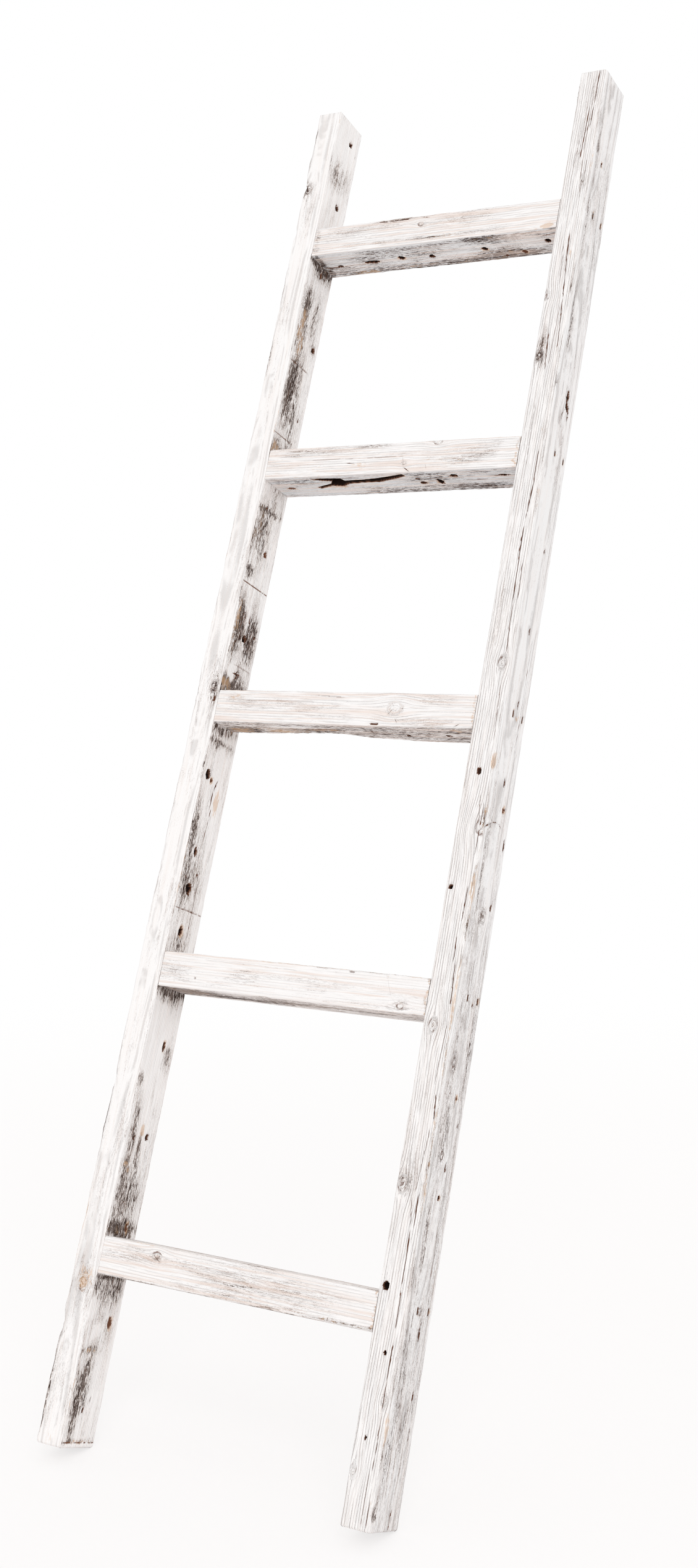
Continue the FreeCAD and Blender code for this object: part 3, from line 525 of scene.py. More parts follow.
def lattice(x, y, z, seed):
    """A repeatable number from -1 to 1 for each whole-numbered place."""
    n = x * 73856093 ^ y * 19349663 ^ z * 83492791 ^ (seed * 40503 + 977)
    n = (n ^ (n >> 13)) * 1274126177 & 0x7FFFFFFF
    n = (n ^ (n >> 11)) * 668265263 & 0x7FFFFFFF
    return ((n >> 7) & 0xFFFF) / 32767.5 - 1


def noise(x, y, z, seed):
    """Smooth noise from -1 to 1, one cell a unit wide."""
    places = np.broadcast_arrays(x, y, z)
    cells = [np.floor(place).astype(np.int64) for place in places]
    parts = [place - cell for place, cell in zip(places, cells)]
    eased = [part * part * (3 - 2 * part) for part in parts]
    total = 0
    for corner in product((0, 1), repeat=3):
        weight = 1
        for step, ease in zip(corner, eased):
            weight = weight * (ease if step else 1 - ease)
        total = total + weight * lattice(*(c + s for c, s in zip(cells, corner)), seed)
    return total


def smooth(low, high, value):
    """0 below low, 1 above high, and a smooth rise between."""
    part = np.clip((value - low) / (high - low), 0, 1)
    return part * part * (3 - 2 * part)


def bell(value, width):
    """1 at 0, falling smoothly on both sides to about a third at `width`."""
    return np.exp(-((value / width) ** 2))


def from_early_wood(rings):
    """How far each place lies from the nearest ring's soft early wood, in rings."""
    return np.abs(rings - np.round(rings))


# ---- timbers -----------------------------------------------------------------------------

FINE_PLACES = 6000  # places along a timber where the rows' density is worked out
ROW_CROWDING = 2.6  # what a mark of strength 1 adds to the rows' density
MOST_CROWDED = 6.0  # times the usual density
LAYERS = ("bare", "warm", "cavity", "depth", "in_knot", "knot_rings")


@dataclass
class Timber:
    """One rail or rung: its size, where it lies and the wear on each of its faces.

    `pith` is the tree's middle, in the timber's section. `radii` round the long edges, from the
    near front one by way of the far ones. `spacing` is from column to column on each face.
    """

    name: str
    length: float
    width: float
    depth: float
    across: float
    up: float
    is_rail: bool
    seed: int
    pith: tuple
    radii: tuple
    end_round: tuple
    wear: dict
    spacing: dict
    row_count: int
    outer: str = "far"
    chips: tuple = ()
    nails: tuple = ()
    worn_edge: tuple = ()


def face_places(timber):
    """Columns round the timber: their face, their place on its section, and the way round."""
    face_ids, places, walk = [], [], []
    w, d = timber.width, timber.depth
    starts = {"front": (0, 0), "far": (w, 0), "rear": (w, d), "near": (0, d)}
    steps = {"front": (1, 0), "far": (0, 1), "rear": (-1, 0), "near": (0, -1)}
    walked = 0.0
    for number, face in enumerate(FACES):
        size = w if face in WIDTH_FACES else d
        count = round(size / timber.spacing[face])
        gone = np.arange(count) * size / count
        start, step = np.array(starts[face]), np.array(steps[face])
        places.append(start + gone[:, None] * step)
        face_ids.append(np.full(count, number))
        walk.append(walked + gone)
        walked += size
    return np.concatenate(face_ids), np.concatenate(places), np.concatenate(walk)


def crowded_places(timber):
    """Where rows lie closer together: the place along, its reach and its strength."""
    places = [(end, size + 1, 1.6) for end, size in zip((0, timber.length), timber.end_round)]
    for wear in timber.wear.values():
        for along, _, length, _, deep, _ in wear.holes:
            places.append((along, length * 0.5 + 1.5, min(1, deep / 4)))
        for along, _, _, width, _ in wear.kerfs:
            places.append((along, width + 0.8, 1.5))
        for along, _, radius in wear.knots:
            places.append((along, radius * 1.4, 0.6))
        for a0, t0, a1, t1, _, _ in wear.cracks:
            if abs(t1 - t0) > 0.6 * abs(a1 - a0):
                places.append(((a0 + a1) / 2, abs(a1 - a0) / 2 + 2, 0.7))
    return places + [(along, 5, 1.4) for along, _ in timber.nails]


def row_places(timber):
    """Rows along the timber, closer together at its ends and at marks across the grain."""
    fine = np.linspace(0, timber.length, FINE_PLACES)
    density = np.ones_like(fine)
    for along, reach, strength in crowded_places(timber):
        density += ROW_CROWDING * strength * bell(fine - along, reach)
    density = np.minimum(density, MOST_CROWDED)
    total = np.concatenate([[0], np.cumsum((density[1:] + density[:-1]) / 2)])
    return np.interp(np.linspace(0, total[-1], timber.row_count), total, fine)


class Layered:
    """Layers of numbers for what wear does at each place, row by column."""

    def clear(self, names, shape):
        """Starts layers at 0 everywhere."""
        for name in names:
            setattr(self, name, np.zeros(shape))

    def deepen(self, depth, cavity):
        """Sinks and darkens the wood, where it isn't already deeper or darker; the darkening is
        partly dirt and rot and partly painted shade in the recess.
        """
        self.depth = np.maximum(self.depth, depth)
        self.cavity = np.maximum(self.cavity, cavity)

    def stain(self, warm):
        """Stains the wood, where it isn't already more stained."""
        self.warm = np.maximum(self.warm, warm)


class Surface(Layered):
    """The unrolled surface of a timber while its wear is worked out."""

    def __init__(self, timber):
        self.timber = timber
        self.face_ids, section, self.walk = face_places(timber)
        self.rows = row_places(timber)
        shape = (len(self.rows), len(self.walk))
        self.along = np.broadcast_to(self.rows[:, None], shape)
        self.p = np.broadcast_to(section[:, 0], shape)
        self.q = np.broadcast_to(section[:, 1], shape)
        self.clear((*LAYERS, "lines", "painted_shade", "shift_p", "shift_q"), shape)

    def noise(self, size, stretch, seed):
        """Noise in the timber, `size` mm across the grain and `stretch` mm along it."""
        seed += self.timber.seed * 31
        return noise(self.p / size, self.q / size, self.along / stretch, seed)

    def along_noise(self, stretch, seed, lane=0.5):
        """Noise that changes only along the grain, over `stretch` mm, and from lane to lane."""
        return noise(self.along / stretch, lane, 0.5, self.timber.seed * 31 + seed)


# ---- marks on one face -------------------------------------------------------------------

PATCH_STRENGTH = 1.15
SPLIT_HAIR = 0.16  # half the width, in mm, of the finest end of a crack
KNOT_STRETCH = 1.35  # how much longer a knot is along the grain than across it
KNOT_RING_PITCH = 1.7


class Face(Layered):
    """One face of a timber while its marks are made."""

    def __init__(self, surface, name, wear):
        number = FACES.index(name)
        columns = np.nonzero(surface.face_ids == number)[0]
        self.part = np.ix_(np.arange(len(surface.rows)), columns)
        self.spans_width = name in WIDTH_FACES
        self.along = surface.along[self.part]
        self.across = (surface.p if self.spans_width else surface.q)[self.part]
        self.seed = surface.timber.seed * 31 + number
        self.jag = self.noise(7, 3, 5)
        self.fine_jag = self.noise(2.5, 1.6, 6)
        self.clear((*LAYERS, "shift"), self.along.shape)
        self.bare += wear.bare

    def noise(self, stretch, size, seed, layer=0.5):
        """Noise on the face, `stretch` mm along the grain and `size` mm across it."""
        return noise(self.along / stretch, self.across / size, layer, self.seed + seed)

    def store(self, surface, wear):
        """Hands the finished face back to the timber's surface."""
        for layer in LAYERS:
            getattr(surface, layer)[self.part] = getattr(self, layer)
        shift = surface.shift_p if self.spans_width else surface.shift_q
        shift[self.part] = self.shift
        surface.lines[self.part] = wear.lines
        # the face's share of painted shade, for faces turned from the light
        surface.painted_shade[self.part] = wear.painted_shade


def outline_distance(x, y, corners):
    """How far each place lies inside a closed outline, and below 0 how far outside it."""
    inside = np.zeros(x.shape, bool)
    nearest = np.full(x.shape, np.inf)
    for (x0, y0), (x1, y1) in zip(corners, corners[1:] + corners[:1]):
        dx, dy = x1 - x0, y1 - y0
        if dy:
            inside ^= ((y0 > y) != (y1 > y)) & (x < dx * (y - y0) / dy + x0)
        share = np.clip(((x - x0) * dx + (y - y0) * dy) / (dx * dx + dy * dy), 0, 1)
        nearest = np.minimum(nearest, np.hypot(x - x0 - share * dx, y - y0 - share * dy))
    return np.where(inside, nearest, -nearest)


def wear_paint(face, patches):
    """Areas of worn, thick or stained paint, each with a ragged edge."""
    along = face.along + 5 * face.noise(16, 5, 7, layer=2.5)
    across = face.across + 1.6 * face.noise(12, 4, 8, layer=4.5)
    for a, t, length, width, bare, warm in patches:
        reach = ((along - a) / (length / 2)) ** 2 + ((across - t) / (width / 2)) ** 2
        weight = np.exp(-(reach ** 1.4))
        face.bare += PATCH_STRENGTH * bare * weight
        face.stain(warm * weight)


def open_cracks(face, cracks):
    """Cracks that wander, and narrow and grow shallow towards their ends."""
    across = face.across + 0.35 * face.jag + 0.2 * face.fine_jag
    for a0, t0, a1, t1, width, deep in cracks:
        span = math.hypot(a1 - a0, t1 - t0)
        share = ((face.along - a0) * (a1 - a0) + (across - t0) * (t1 - t0)) / span ** 2
        off = ((face.along - a0) * (t1 - t0) - (across - t0) * (a1 - a0)) / span
        ends = np.clip(np.minimum(share, 1 - share) * span / (3 * width + 2), 0, 1) ** 0.6
        taper = 0.4 + 0.6 * ends
        half = width / 2 * (0.75 + 0.5 * face.jag) * taper + SPLIT_HAIR
        groove = np.clip(1 - (off / half) ** 2, 0, 1) * (ends > 0)
        # darker the deeper the crack: dirt in it, and painted shade inside it
        darkness = min(1, 0.08 + 0.28 * deep)
        face.deepen(deep * groove * taper, smooth(0, 0.5, groove) * ends * darkness)


def sink_holes(face, holes):
    """Torn holes that old nails left, with the stain round them."""
    for a, t, length, width, deep, stain in holes:
        ring = np.hypot((face.along - a) / (length / 2), (face.across - t) / (width / 2))
        ring = ring * (1 + 0.22 * face.fine_jag + 0.18 * face.jag)
        sunk = 1 - smooth(0.62, 1.12, ring)
        # darker the deeper the hole: rust and dirt, and painted shade inside it
        darkness = min(1, max(0.1, deep / 4 - 0.25))
        face.deepen(deep * sunk, smooth(0.04, 0.34, sunk) * darkness)
        rim = np.hypot((face.along - a) / (length * 0.9 + 2),
                       (face.across - t) / (width * 0.7 + 1))
        face.stain(stain * (1 - smooth(0.5, 1.1, rim)))


def rot_away(face, corners, deepest):
    """A rotted hollow, whose steep walls are dark right from the rim: rotted wood, with painted
    shade down its depth.
    """
    inset = outline_distance(
        face.along + 0.5 * face.jag, face.across + 0.15 * face.fine_jag, corners)
    sunk = smooth(-1.2, 2.4, inset)
    face.deepen(deepest * sunk, smooth(0, 0.14, sunk))
    face.stain(0.7 * bell(inset + 1, 1.6))


def grow_knots(face, knots):
    """Knots: the grain bends round them, and a fine crack and a star of checks open in each."""
    for a, t, radius in knots:
        u, v = face.across - t, face.along - a
        face.shift -= u * 0.8 * bell(u, 2.0 * radius) * bell(v, 3.4 * radius)
        ring = np.hypot(u, v / KNOT_STRETCH) / radius
        ring = ring * (1 + 0.24 * face.jag + 0.12 * face.fine_jag)
        inside = 1 - smooth(0.86, 1.06, ring)
        face.in_knot = np.maximum(face.in_knot, inside)
        own_rings = ring * radius / KNOT_RING_PITCH
        face.knot_rings = np.where(inside > 0, own_rings, face.knot_rings)
        rim = bell(ring - 1, 0.1 + 0.5 / radius)
        face.deepen(0.55 * rim * (0.6 + 0.4 * face.jag), 0.34 * rim * smooth(-0.4, 0.5, face.jag))
        star = bell(np.sin(np.arctan2(u, v) * 1.5 + face.seed), 0.1)
        star = star * inside * smooth(0.1, 0.5, ring)
        face.deepen(0.5 * star, 0.22 * star)
        face.bare += 0.18 * inside + 0.12 * bell(ring - 1.2, 0.8)


def saw_across(face, kerfs):
    """Shallow saw kerfs across the face, with the paint worn from their edges."""
    for a, t0, t1, width, deep in kerfs:
        along = face.along + 0.5 * noise(face.across / 9, 0.5, 0.5, face.seed + 9)
        cut = np.clip(1 - np.abs(along - a) / (width / 2 + 0.5), 0, 1)
        cut = cut * smooth(t0 - 1, t0 + 1, face.across)
        cut = cut * (1 - smooth(t1 - 3, t1 + 3, face.across + 3 * face.jag))
        face.deepen(deep * cut, 0.5 * cut * smooth(-0.8, 0.3, face.jag))
        face.bare += 0.3 * cut


def wear_face(surface, name, wear):
    """Adds one face's paint, stains and marks to the surface."""
    face = Face(surface, name, wear)
    wear_paint(face, wear.patches)
    open_cracks(face, wear.cracks)
    sink_holes(face, wear.holes)
    if wear.rot:
        rot_away(face, wear.rot, wear.rot_depth)
    grow_knots(face, wear.knots)
    saw_across(face, wear.kerfs)
    face.store(surface, wear)


# ---- grain, edges and ends of the whole timber -------------------------------------------

GRAIN_DEPTH = 0.34  # of the open early wood
FIBRE_DEPTH, WAVE_DEPTH = 0.07, 0.12  # of the roughness of fibres and of planed-down waves
LEAST_RADIUS, MOST_RADIUS = 0.5, 9.0  # of the long edges
CHIP_STRETCH = 0.55  # a splinter reaches further over the side than over the front
SOUND = 99.0  # past the rear of any rung, where nothing has worn away
NAIL_HALF_SEAT = (4.0, 2.6)  # along and across the grain
NAIL_SEAT_DEPTH = 4.0


def growth_rings(surface, ring_pitch):
    """The number of the growth ring at each place, bent round knots and by the tree's growth."""
    pith_p, pith_q = surface.timber.pith
    drift_p = 4 * surface.along_noise(340, 11) + 0.6 * surface.along_noise(90, 12)
    drift_q = 4 * surface.along_noise(300, 13) + 0.6 * surface.along_noise(80, 14)
    p = surface.p + surface.shift_p + drift_p - pith_p
    q = surface.q + surface.shift_q + drift_q - pith_q
    radius = np.hypot(p, q) + 0.3 * surface.noise(14, 45, 15)
    uneven = 0.9 * noise(radius / 9, surface.along / 400, 0.5, surface.timber.seed * 31 + 16)
    rings = (radius + uneven) / ring_pitch
    return rings * (1 - surface.in_knot) + surface.knot_rings * surface.in_knot


def open_grain(surface, rings):
    """Sinks the soft early wood of each ring, deepest where the weather has been worst."""
    seed = surface.timber.seed * 31 + 21
    strength = 0.5 + 0.5 * noise(np.round(rings), surface.along / 70, 0.5, seed)
    strength = smooth(0.25, 0.75, strength)
    surface.depth += GRAIN_DEPTH * surface.lines * bell(from_early_wood(rings), 0.17) * strength
    surface.depth += FIBRE_DEPTH * (1 + surface.noise(1.6, 26, 22))
    surface.depth += WAVE_DEPTH * (1 + surface.noise(28, 90, 23))
    # paint goes first from edges and from the fibres between the grooves
    surface.bare += 0.16 * surface.noise(9, 60, 24) + 0.12 * surface.noise(3, 30, 25)


def edge_radius(surface):
    """The rounding of the nearest long edge at each place, as uneven as wear leaves it."""
    timber = surface.timber
    right, back = surface.p > timber.width / 2, surface.q > timber.depth / 2
    corner = np.where(back, np.where(right, 2, 3), np.where(right, 1, 0))
    uneven = (0.5 * surface.along_noise(26, 31, lane=corner)
              + 0.4 * surface.along_noise(7, 32, lane=corner))
    return np.clip(np.array(timber.radii)[corner] * (1 + uneven), LEAST_RADIUS, MOST_RADIUS)


def end_rounding(surface):
    """How far the arrises at both ends are worn back."""
    timber = surface.timber
    worn = 0
    for end, size in zip((0, timber.length), timber.end_round):
        size = size * (1 + 0.25 * surface.noise(7, 400, 33))
        left = np.clip(size - np.abs(surface.along - end), 0, None)
        worn = worn + size - np.sqrt(np.maximum(size ** 2 - left ** 2, 0))
    return worn


def break_splinters(surface):
    """How deep splinters have broken from the front outer edge, which bares the wood there."""
    timber = surface.timber
    side = 0 if timber.outer == "near" else timber.width
    edge = np.hypot(surface.p - side, surface.q * CHIP_STRETCH)
    lost = 0
    for a, length, bite in timber.chips:
        bitten = bell(surface.along - a - length / 2, length * 0.42)
        bitten = bitten * (1 - smooth(1.5, 5.5, edge + 1.5 * surface.noise(3, 4, 34)))
        lost = lost + 1.3 * bite * bitten
        surface.bare += 0.6 * bitten
    return lost


def wear_rear_edge(surface, new_p, new_q):
    """Lifts a rung's underside towards its rear, where the edge has rotted and broken away."""
    timber = surface.timber
    stops, sound = zip(*timber.worn_edge)
    limit = np.interp(surface.along, stops, sound, left=SOUND, right=SOUND)
    limit = limit + 1.4 * surface.noise(60, 7, 41) + 0.8 * surface.noise(60, 3, 42)
    over = np.clip(new_q - limit, 0, None)
    crumble = 1 + 0.16 * surface.noise(5, 9, 43)
    rise = WORN_RISE * (1 - np.exp(-over / 4.5)) * crumble
    share = np.clip(1 - new_p / timber.width, 0, 1)
    surface.bare += 0.5 * smooth(0.5, 4, rise) * share
    surface.stain(0.6 * smooth(0.5, 4, rise) * share)
    return new_p + rise * share


def sink_nail(surface, new_p, along, depth_at):
    """The seat of a nail head, driven below the rail's outer side."""
    outer = surface.timber.outer
    on_face = surface.face_ids == FACES.index(outer)
    u = (surface.along - along) / NAIL_HALF_SEAT[0]
    v = (surface.q - depth_at) / NAIL_HALF_SEAT[1]
    edge = np.maximum(np.abs(u), np.abs(v)) * (1 + 0.07 * surface.noise(2.2, 2.2, 44))
    seat = (1 - smooth(0.9, 1.14, edge)) * on_face
    surface.deepen(0, 0.5 * seat)
    surface.stain(0.6 * (1 - smooth(0.8, 2.2, np.hypot(u * 0.8, v))) * on_face)
    inwards = 1 if outer == "near" else -1
    return new_p + inwards * NAIL_SEAT_DEPTH * seat


def press_in(surface):
    """The section's points, with rounded and chipped edges and the wear pressed inwards."""
    timber = surface.timber
    radius = edge_radius(surface)
    inner_p = np.clip(surface.p, radius, timber.width - radius)
    inner_q = np.clip(surface.q, radius, timber.depth - radius)
    out_p, out_q = surface.p - inner_p, surface.q - inner_q
    reach = np.hypot(out_p, out_q)
    out_p, out_q = out_p / reach, out_q / reach
    press = surface.depth + end_rounding(surface) + break_splinters(surface)
    new_p = inner_p + (radius - press) * out_p
    new_q = inner_q + (radius - press) * out_q

    if timber.worn_edge:
        new_p = wear_rear_edge(surface, new_p, new_q)
    for along, depth_at in timber.nails:
        new_p = sink_nail(surface, new_p, along, depth_at)
    arris = smooth(0.05, 0.35, np.minimum(np.abs(out_p), np.abs(out_q)))
    surface.bare += arris * (0.10 + 0.35 * surface.noise(30, 38, 35))
    surface.stain(arris * 0.5 * smooth(0.25, 0.7, surface.noise(40, 60, 36)))
    return new_p, new_q


# ---- a timber's mesh ---------------------------------------------------------------------

CAP_SHARES = (0.97, 0.9, 0.8, 0.66, 0.5, 0.33, 0.16, 0.05)  # loops from an end's rim inwards
END_STATE = (0.34, 0.0, 0.25)  # bare, cavity and warm of end grain
# end grain takes 0.2 of painted shade, as a face turned from the light
END_FINISH = (0.9, 0.2, 0.0)  # lines, cool and depth of end grain
PORE_STRETCH = 30  # end grain has pores and no streaks, so its noise runs alike both ways
MAP_GAP, STRIP_GAP = 8, 6  # mm of wood between the pieces of the flat map
LOOK_LAYERS = ("grain", "state", "finish")


def place_points(timber, along, p, q, lean):
    """World places, in metres, of points given along the grain and in the section."""
    across = timber.across + (p if timber.is_rail else along)
    up = timber.up + (along if timber.is_rail else p)
    forward = q - timber.depth
    y = up * math.sin(lean) + forward * math.cos(lean)
    z = up * math.cos(lean) - forward * math.sin(lean)
    return np.stack([across, y, z], axis=-1) * MM


class Shell:
    """A timber's points and faces, and its flat map, while they are put together."""

    def __init__(self, timber, lean):
        self.timber, self.lean = timber, lean
        self.points = []
        self.looks = {name: [] for name in LOOK_LAYERS}
        self.faces = {4: [], 3: []}
        self.maps = {4: [], 3: []}
        self.count = 0

    def add_points(self, along, p, q, *looks):
        """Adds points with what the material needs at each, and gives their numbers."""
        self.points.append(place_points(self.timber, along, p, q, self.lean).reshape(-1, 3))
        for name, values in zip(LOOK_LAYERS, looks):
            values = np.broadcast_arrays(*values, p)[:3]
            self.looks[name].append(np.stack(values, -1).reshape(-1, 3))
        first = self.count
        self.count += p.size
        return first + np.arange(p.size)

    def add_faces(self, corners, places, flip=False):
        """Adds quads or triangles and their places on the map, turned over where asked."""
        # a rung's directions are handed the other way from a rail's
        if flip == self.timber.is_rail:
            corners, places = corners[:, ::-1], places[:, ::-1]
        self.faces[corners.shape[1]].append(corners)
        self.maps[corners.shape[1]].append(places)


def strip_count(timber):
    """Into how many strips the unrolled timber is cut, so that its map is about square."""
    return max(1, round(math.sqrt(timber.length / (2 * (timber.width + timber.depth)))))


def add_sides(shell, surface):
    """The quads of the four long faces, mapped as strips one above the other."""
    timber = surface.timber
    rows, columns = len(surface.rows), len(surface.walk)
    girth = 2 * (timber.width + timber.depth)
    row, column = np.meshgrid(np.arange(rows - 1), np.arange(columns), indexing="ij")
    row, column = row.ravel(), column.ravel()
    after = (column + 1) % columns
    quads = np.stack([row * columns + column, row * columns + after,
                      (row + 1) * columns + after, (row + 1) * columns + column], -1)
    strip_length = timber.length / strip_count(timber)
    strip = np.floor(surface.rows[row] / strip_length).astype(int)
    walk = surface.walk[column]
    next_walk = np.where(after == 0, girth, surface.walk[after])
    places = []
    for at_row, at_walk in ((row, walk), (row, next_walk), (row + 1, next_walk), (row + 1, walk)):
        places.append(np.stack([surface.rows[at_row] - strip * strip_length,
                                at_walk + strip * (girth + STRIP_GAP)], -1))
    shell.add_faces(quads, np.stack(places, 1))


def add_end(shell, edge, edge_p, edge_q, ring_pitch, is_top):
    """Closes one end with slightly hollow end grain, in loops that narrow to its middle."""
    timber = shell.timber
    end, inwards = (timber.length, -1) if is_top else (0.0, 1)
    middle_p, middle_q = edge_p.mean(), edge_q.mean()
    map_left = timber.length / strip_count(timber) + 2 * MAP_GAP
    map_up = timber.depth + MAP_GAP if is_top else 0
    before, before_map = edge, np.stack([edge_p + map_left, edge_q + map_up], -1)
    for share in CAP_SHARES:
        p = middle_p + (edge_p - middle_p) * share
        q = middle_q + (edge_q - middle_q) * share
        rings = np.hypot(p - timber.pith[0], q - timber.pith[1]) / ring_pitch
        hollow = 0.25 * (1 + noise(p / 4, q / 4, 0.5, timber.seed + 51)) * smooth(1, 0.9, share)
        along = end + inwards * (hollow + 0.18 * bell(from_early_wood(rings), 0.2))
        grain = (rings, q * PORE_STRETCH, p)
        now = shell.add_points(along, p, q, grain, END_STATE, END_FINISH)
        now_map = np.stack([p + map_left, q + map_up], -1)
        loop = (before, now, np.roll(now, -1), np.roll(before, -1))
        loop_map = (before_map, now_map, np.roll(now_map, -1, 0), np.roll(before_map, -1, 0))
        shell.add_faces(np.stack(loop, -1), np.stack(loop_map, 1), is_top)
        before, before_map = now, now_map
    grain = (rings.mean(), q.mean() * PORE_STRETCH, p.mean())
    middle = shell.add_points(along.mean(), p.mean(), q.mean(), grain, END_STATE, END_FINISH)
    middle_map = np.broadcast_to([p.mean() + map_left, q.mean() + map_up], before_map.shape)
    fan = (before, np.broadcast_to(middle, before.shape), np.roll(before, -1))
    fan_map = (before_map, middle_map, np.roll(before_map, -1, 0))
    shell.add_faces(np.stack(fan, -1), np.stack(fan_map, 1), is_top)


def fill_mesh(mesh, points, quads, triangles):
    """Gives an empty mesh its points and smooth faces."""
    mesh.vertices.add(len(points))
    mesh.vertices.foreach_set("co", points.astype(np.float32).ravel())
    corners = np.concatenate([quads.ravel(), triangles.ravel()])
    starts = np.concatenate([np.arange(len(quads)) * 4,
                             len(quads) * 4 + np.arange(len(triangles)) * 3])
    mesh.loops.add(len(corners))
    mesh.loops.foreach_set("vertex_index", corners.astype(np.int32))
    mesh.polygons.add(len(starts))
    mesh.polygons.foreach_set("loop_start", starts.astype(np.int32))
    mesh.polygons.foreach_set("use_smooth", np.ones(len(starts), bool))
    mesh.update(calc_edges=True)
    mesh.validate()


def make_timber(timber, lean, ring_pitch, material):
    """Builds a timber as one closed mesh, with the paint and wear stored on its points."""
    surface = Surface(timber)
    for name in FACES:
        wear_face(surface, name, timber.wear[name])
    rings = growth_rings(surface, ring_pitch)
    open_grain(surface, rings)
    new_p, new_q = press_in(surface)

    shell = Shell(timber, lean)
    walk = surface.walk + surface.shift_p + surface.shift_q
    # the third look layer, finish, carries the grain lines' strength, the painted shade and the
    # depth
    edges = shell.add_points(
        surface.along, new_p, new_q, (rings, surface.along, walk),
        (surface.bare, surface.cavity, surface.warm),
        (surface.lines, surface.painted_shade, surface.depth)).reshape(new_p.shape)
    add_sides(shell, surface)
    for row, is_top in ((0, False), (-1, True)):
        add_end(shell, edges[row], new_p[row], new_q[row], ring_pitch, is_top)

    mesh = bpy.data.meshes.new(timber.name)
    fill_mesh(mesh, np.concatenate(shell.points), *map(np.concatenate, shell.faces.values()))
    for name, values in shell.looks.items():
        layer = mesh.attributes.new(name, "FLOAT_VECTOR", "POINT")
        layer.data.foreach_set("vector", np.concatenate(values).astype(np.float32).ravel())
    flat = np.concatenate([np.concatenate(part).reshape(-1, 2) for part in shell.maps.values()])
    flat = (flat / flat.max()).astype(np.float32)
    mesh.uv_layers.new(name="OFBake").data.foreach_set("uv", flat.ravel())
    mesh.materials.append(material)
    piece = bpy.data.objects.new(f"{timber.name}_timber", mesh)
    bpy.context.scene.collection.objects.link(piece)
    return piece


# ---- materials ---------------------------------------------------------------------------

MATH, RANGE, NOISE = "ShaderNodeMath", "ShaderNodeMapRange", "ShaderNodeTexNoise"
MIX_A, MIX_B, MIX_OUT = 6, 7, 2  # a Mix node's colour sockets
WHITE = (1, 1, 1, 1)
SMOOTH = {"interpolation_type": "SMOOTHSTEP"}

# patterns in the wood and paint: rings share, mm along, mm across, detail and offset
PATTERNS = {
    "fibres": (0.6, 30, 0.8, 3, 3.0),
    "brush streaks": (0.35, 120, 3.6, 2, 11.0),
    "blotches": (0.1, 34, 9, 4, 23.0),
    "specks": (0.8, 1.8, 0.8, 3, 37.0),
    "flakes": (0.5, 8, 1.7, 5, 61.0),
    "flecks": (1.3, 7, 0.7, 3, 83.0),
    "line gaps": (0.9, 60, 60, 2, 41.0),
    "hair gaps": (2.1, 28, 30, 2, 53.0),
}

HAIRS_PER_RING = 2.7
# how worn a place is where its paint thins, then goes, then shows the dirtiest wood
THINNING, GOING, DIRTIEST = (0.12, 0.48), (0.43, 0.62), (0.60, 0.92)
MOST_BARE = 1.0  # even the worst places keep some paint
MOST_CRACKLE = 0.2  # the wear at which the cracks in the paint lie closest
RAIL_BLUSH, RUNG_BLUSH = 0.15, 0.62


def add(tree, kind, inputs=None, out=0, **settings):
    """Adds a node with its settings, sets or links its inputs, and gives one output of it."""
    node = tree.nodes.new(kind)
    for name, value in settings.items():
        setattr(node, name, value)
    for name, value in (inputs or {}).items():
        if isinstance(value, bpy.types.NodeSocket):
            tree.links.new(value, node.inputs[name])
        else:
            node.inputs[name].default_value = value
    return node.outputs[out] if node.outputs else None


def between(value, low, high):
    """A range node's inputs, for a share that is 0 at low and 1 at high."""
    return {"Value": value, "From Min": low, "From Max": high}


def new_material(name):
    """An empty material and its node tree."""
    material = bpy.data.materials.new(name)
    material.use_nodes = True
    material.node_tree.nodes.clear()
    return material, material.node_tree


def streaks(tree, grain, ring_share, along_mm, across_mm, detail, offset):
    """Noise `along_mm` long and `across_mm` wide, which follows the growth rings a little."""
    scaled = add(tree, "ShaderNodeVectorMath", {
        0: grain, 1: (ring_share, 1 / along_mm, 1 / across_mm)}, operation="MULTIPLY")
    moved = add(tree, "ShaderNodeVectorMath", {
        0: scaled, 1: (offset, offset * 1.7, offset * 0.6)}, operation="ADD")
    return add(tree, NOISE, {"Vector": moved, "Scale": 1.0, "Detail": detail, "Roughness": 0.62})


def layered(tree, colour, layers):
    """Lays colours over one another, each as strong as its mask times its strength."""
    for mask, strength, tint in layers:
        share = add(tree, MATH, {0: mask, 1: strength}, operation="MULTIPLY")
        colour = add(tree, "ShaderNodeMix", {0: share, MIX_A: colour, MIX_B: tint}, MIX_OUT,
                     data_type="RGBA")
    return colour


def uneven(tree, value, steps):
    """A value made uneven by patterns, each with its strength."""
    for pattern, strength in steps:
        middling = add(tree, MATH, {0: pattern, 1: 0.5}, operation="SUBTRACT")
        value = add(tree, MATH, {0: middling, 1: strength, 2: value}, operation="MULTIPLY_ADD")
    return value


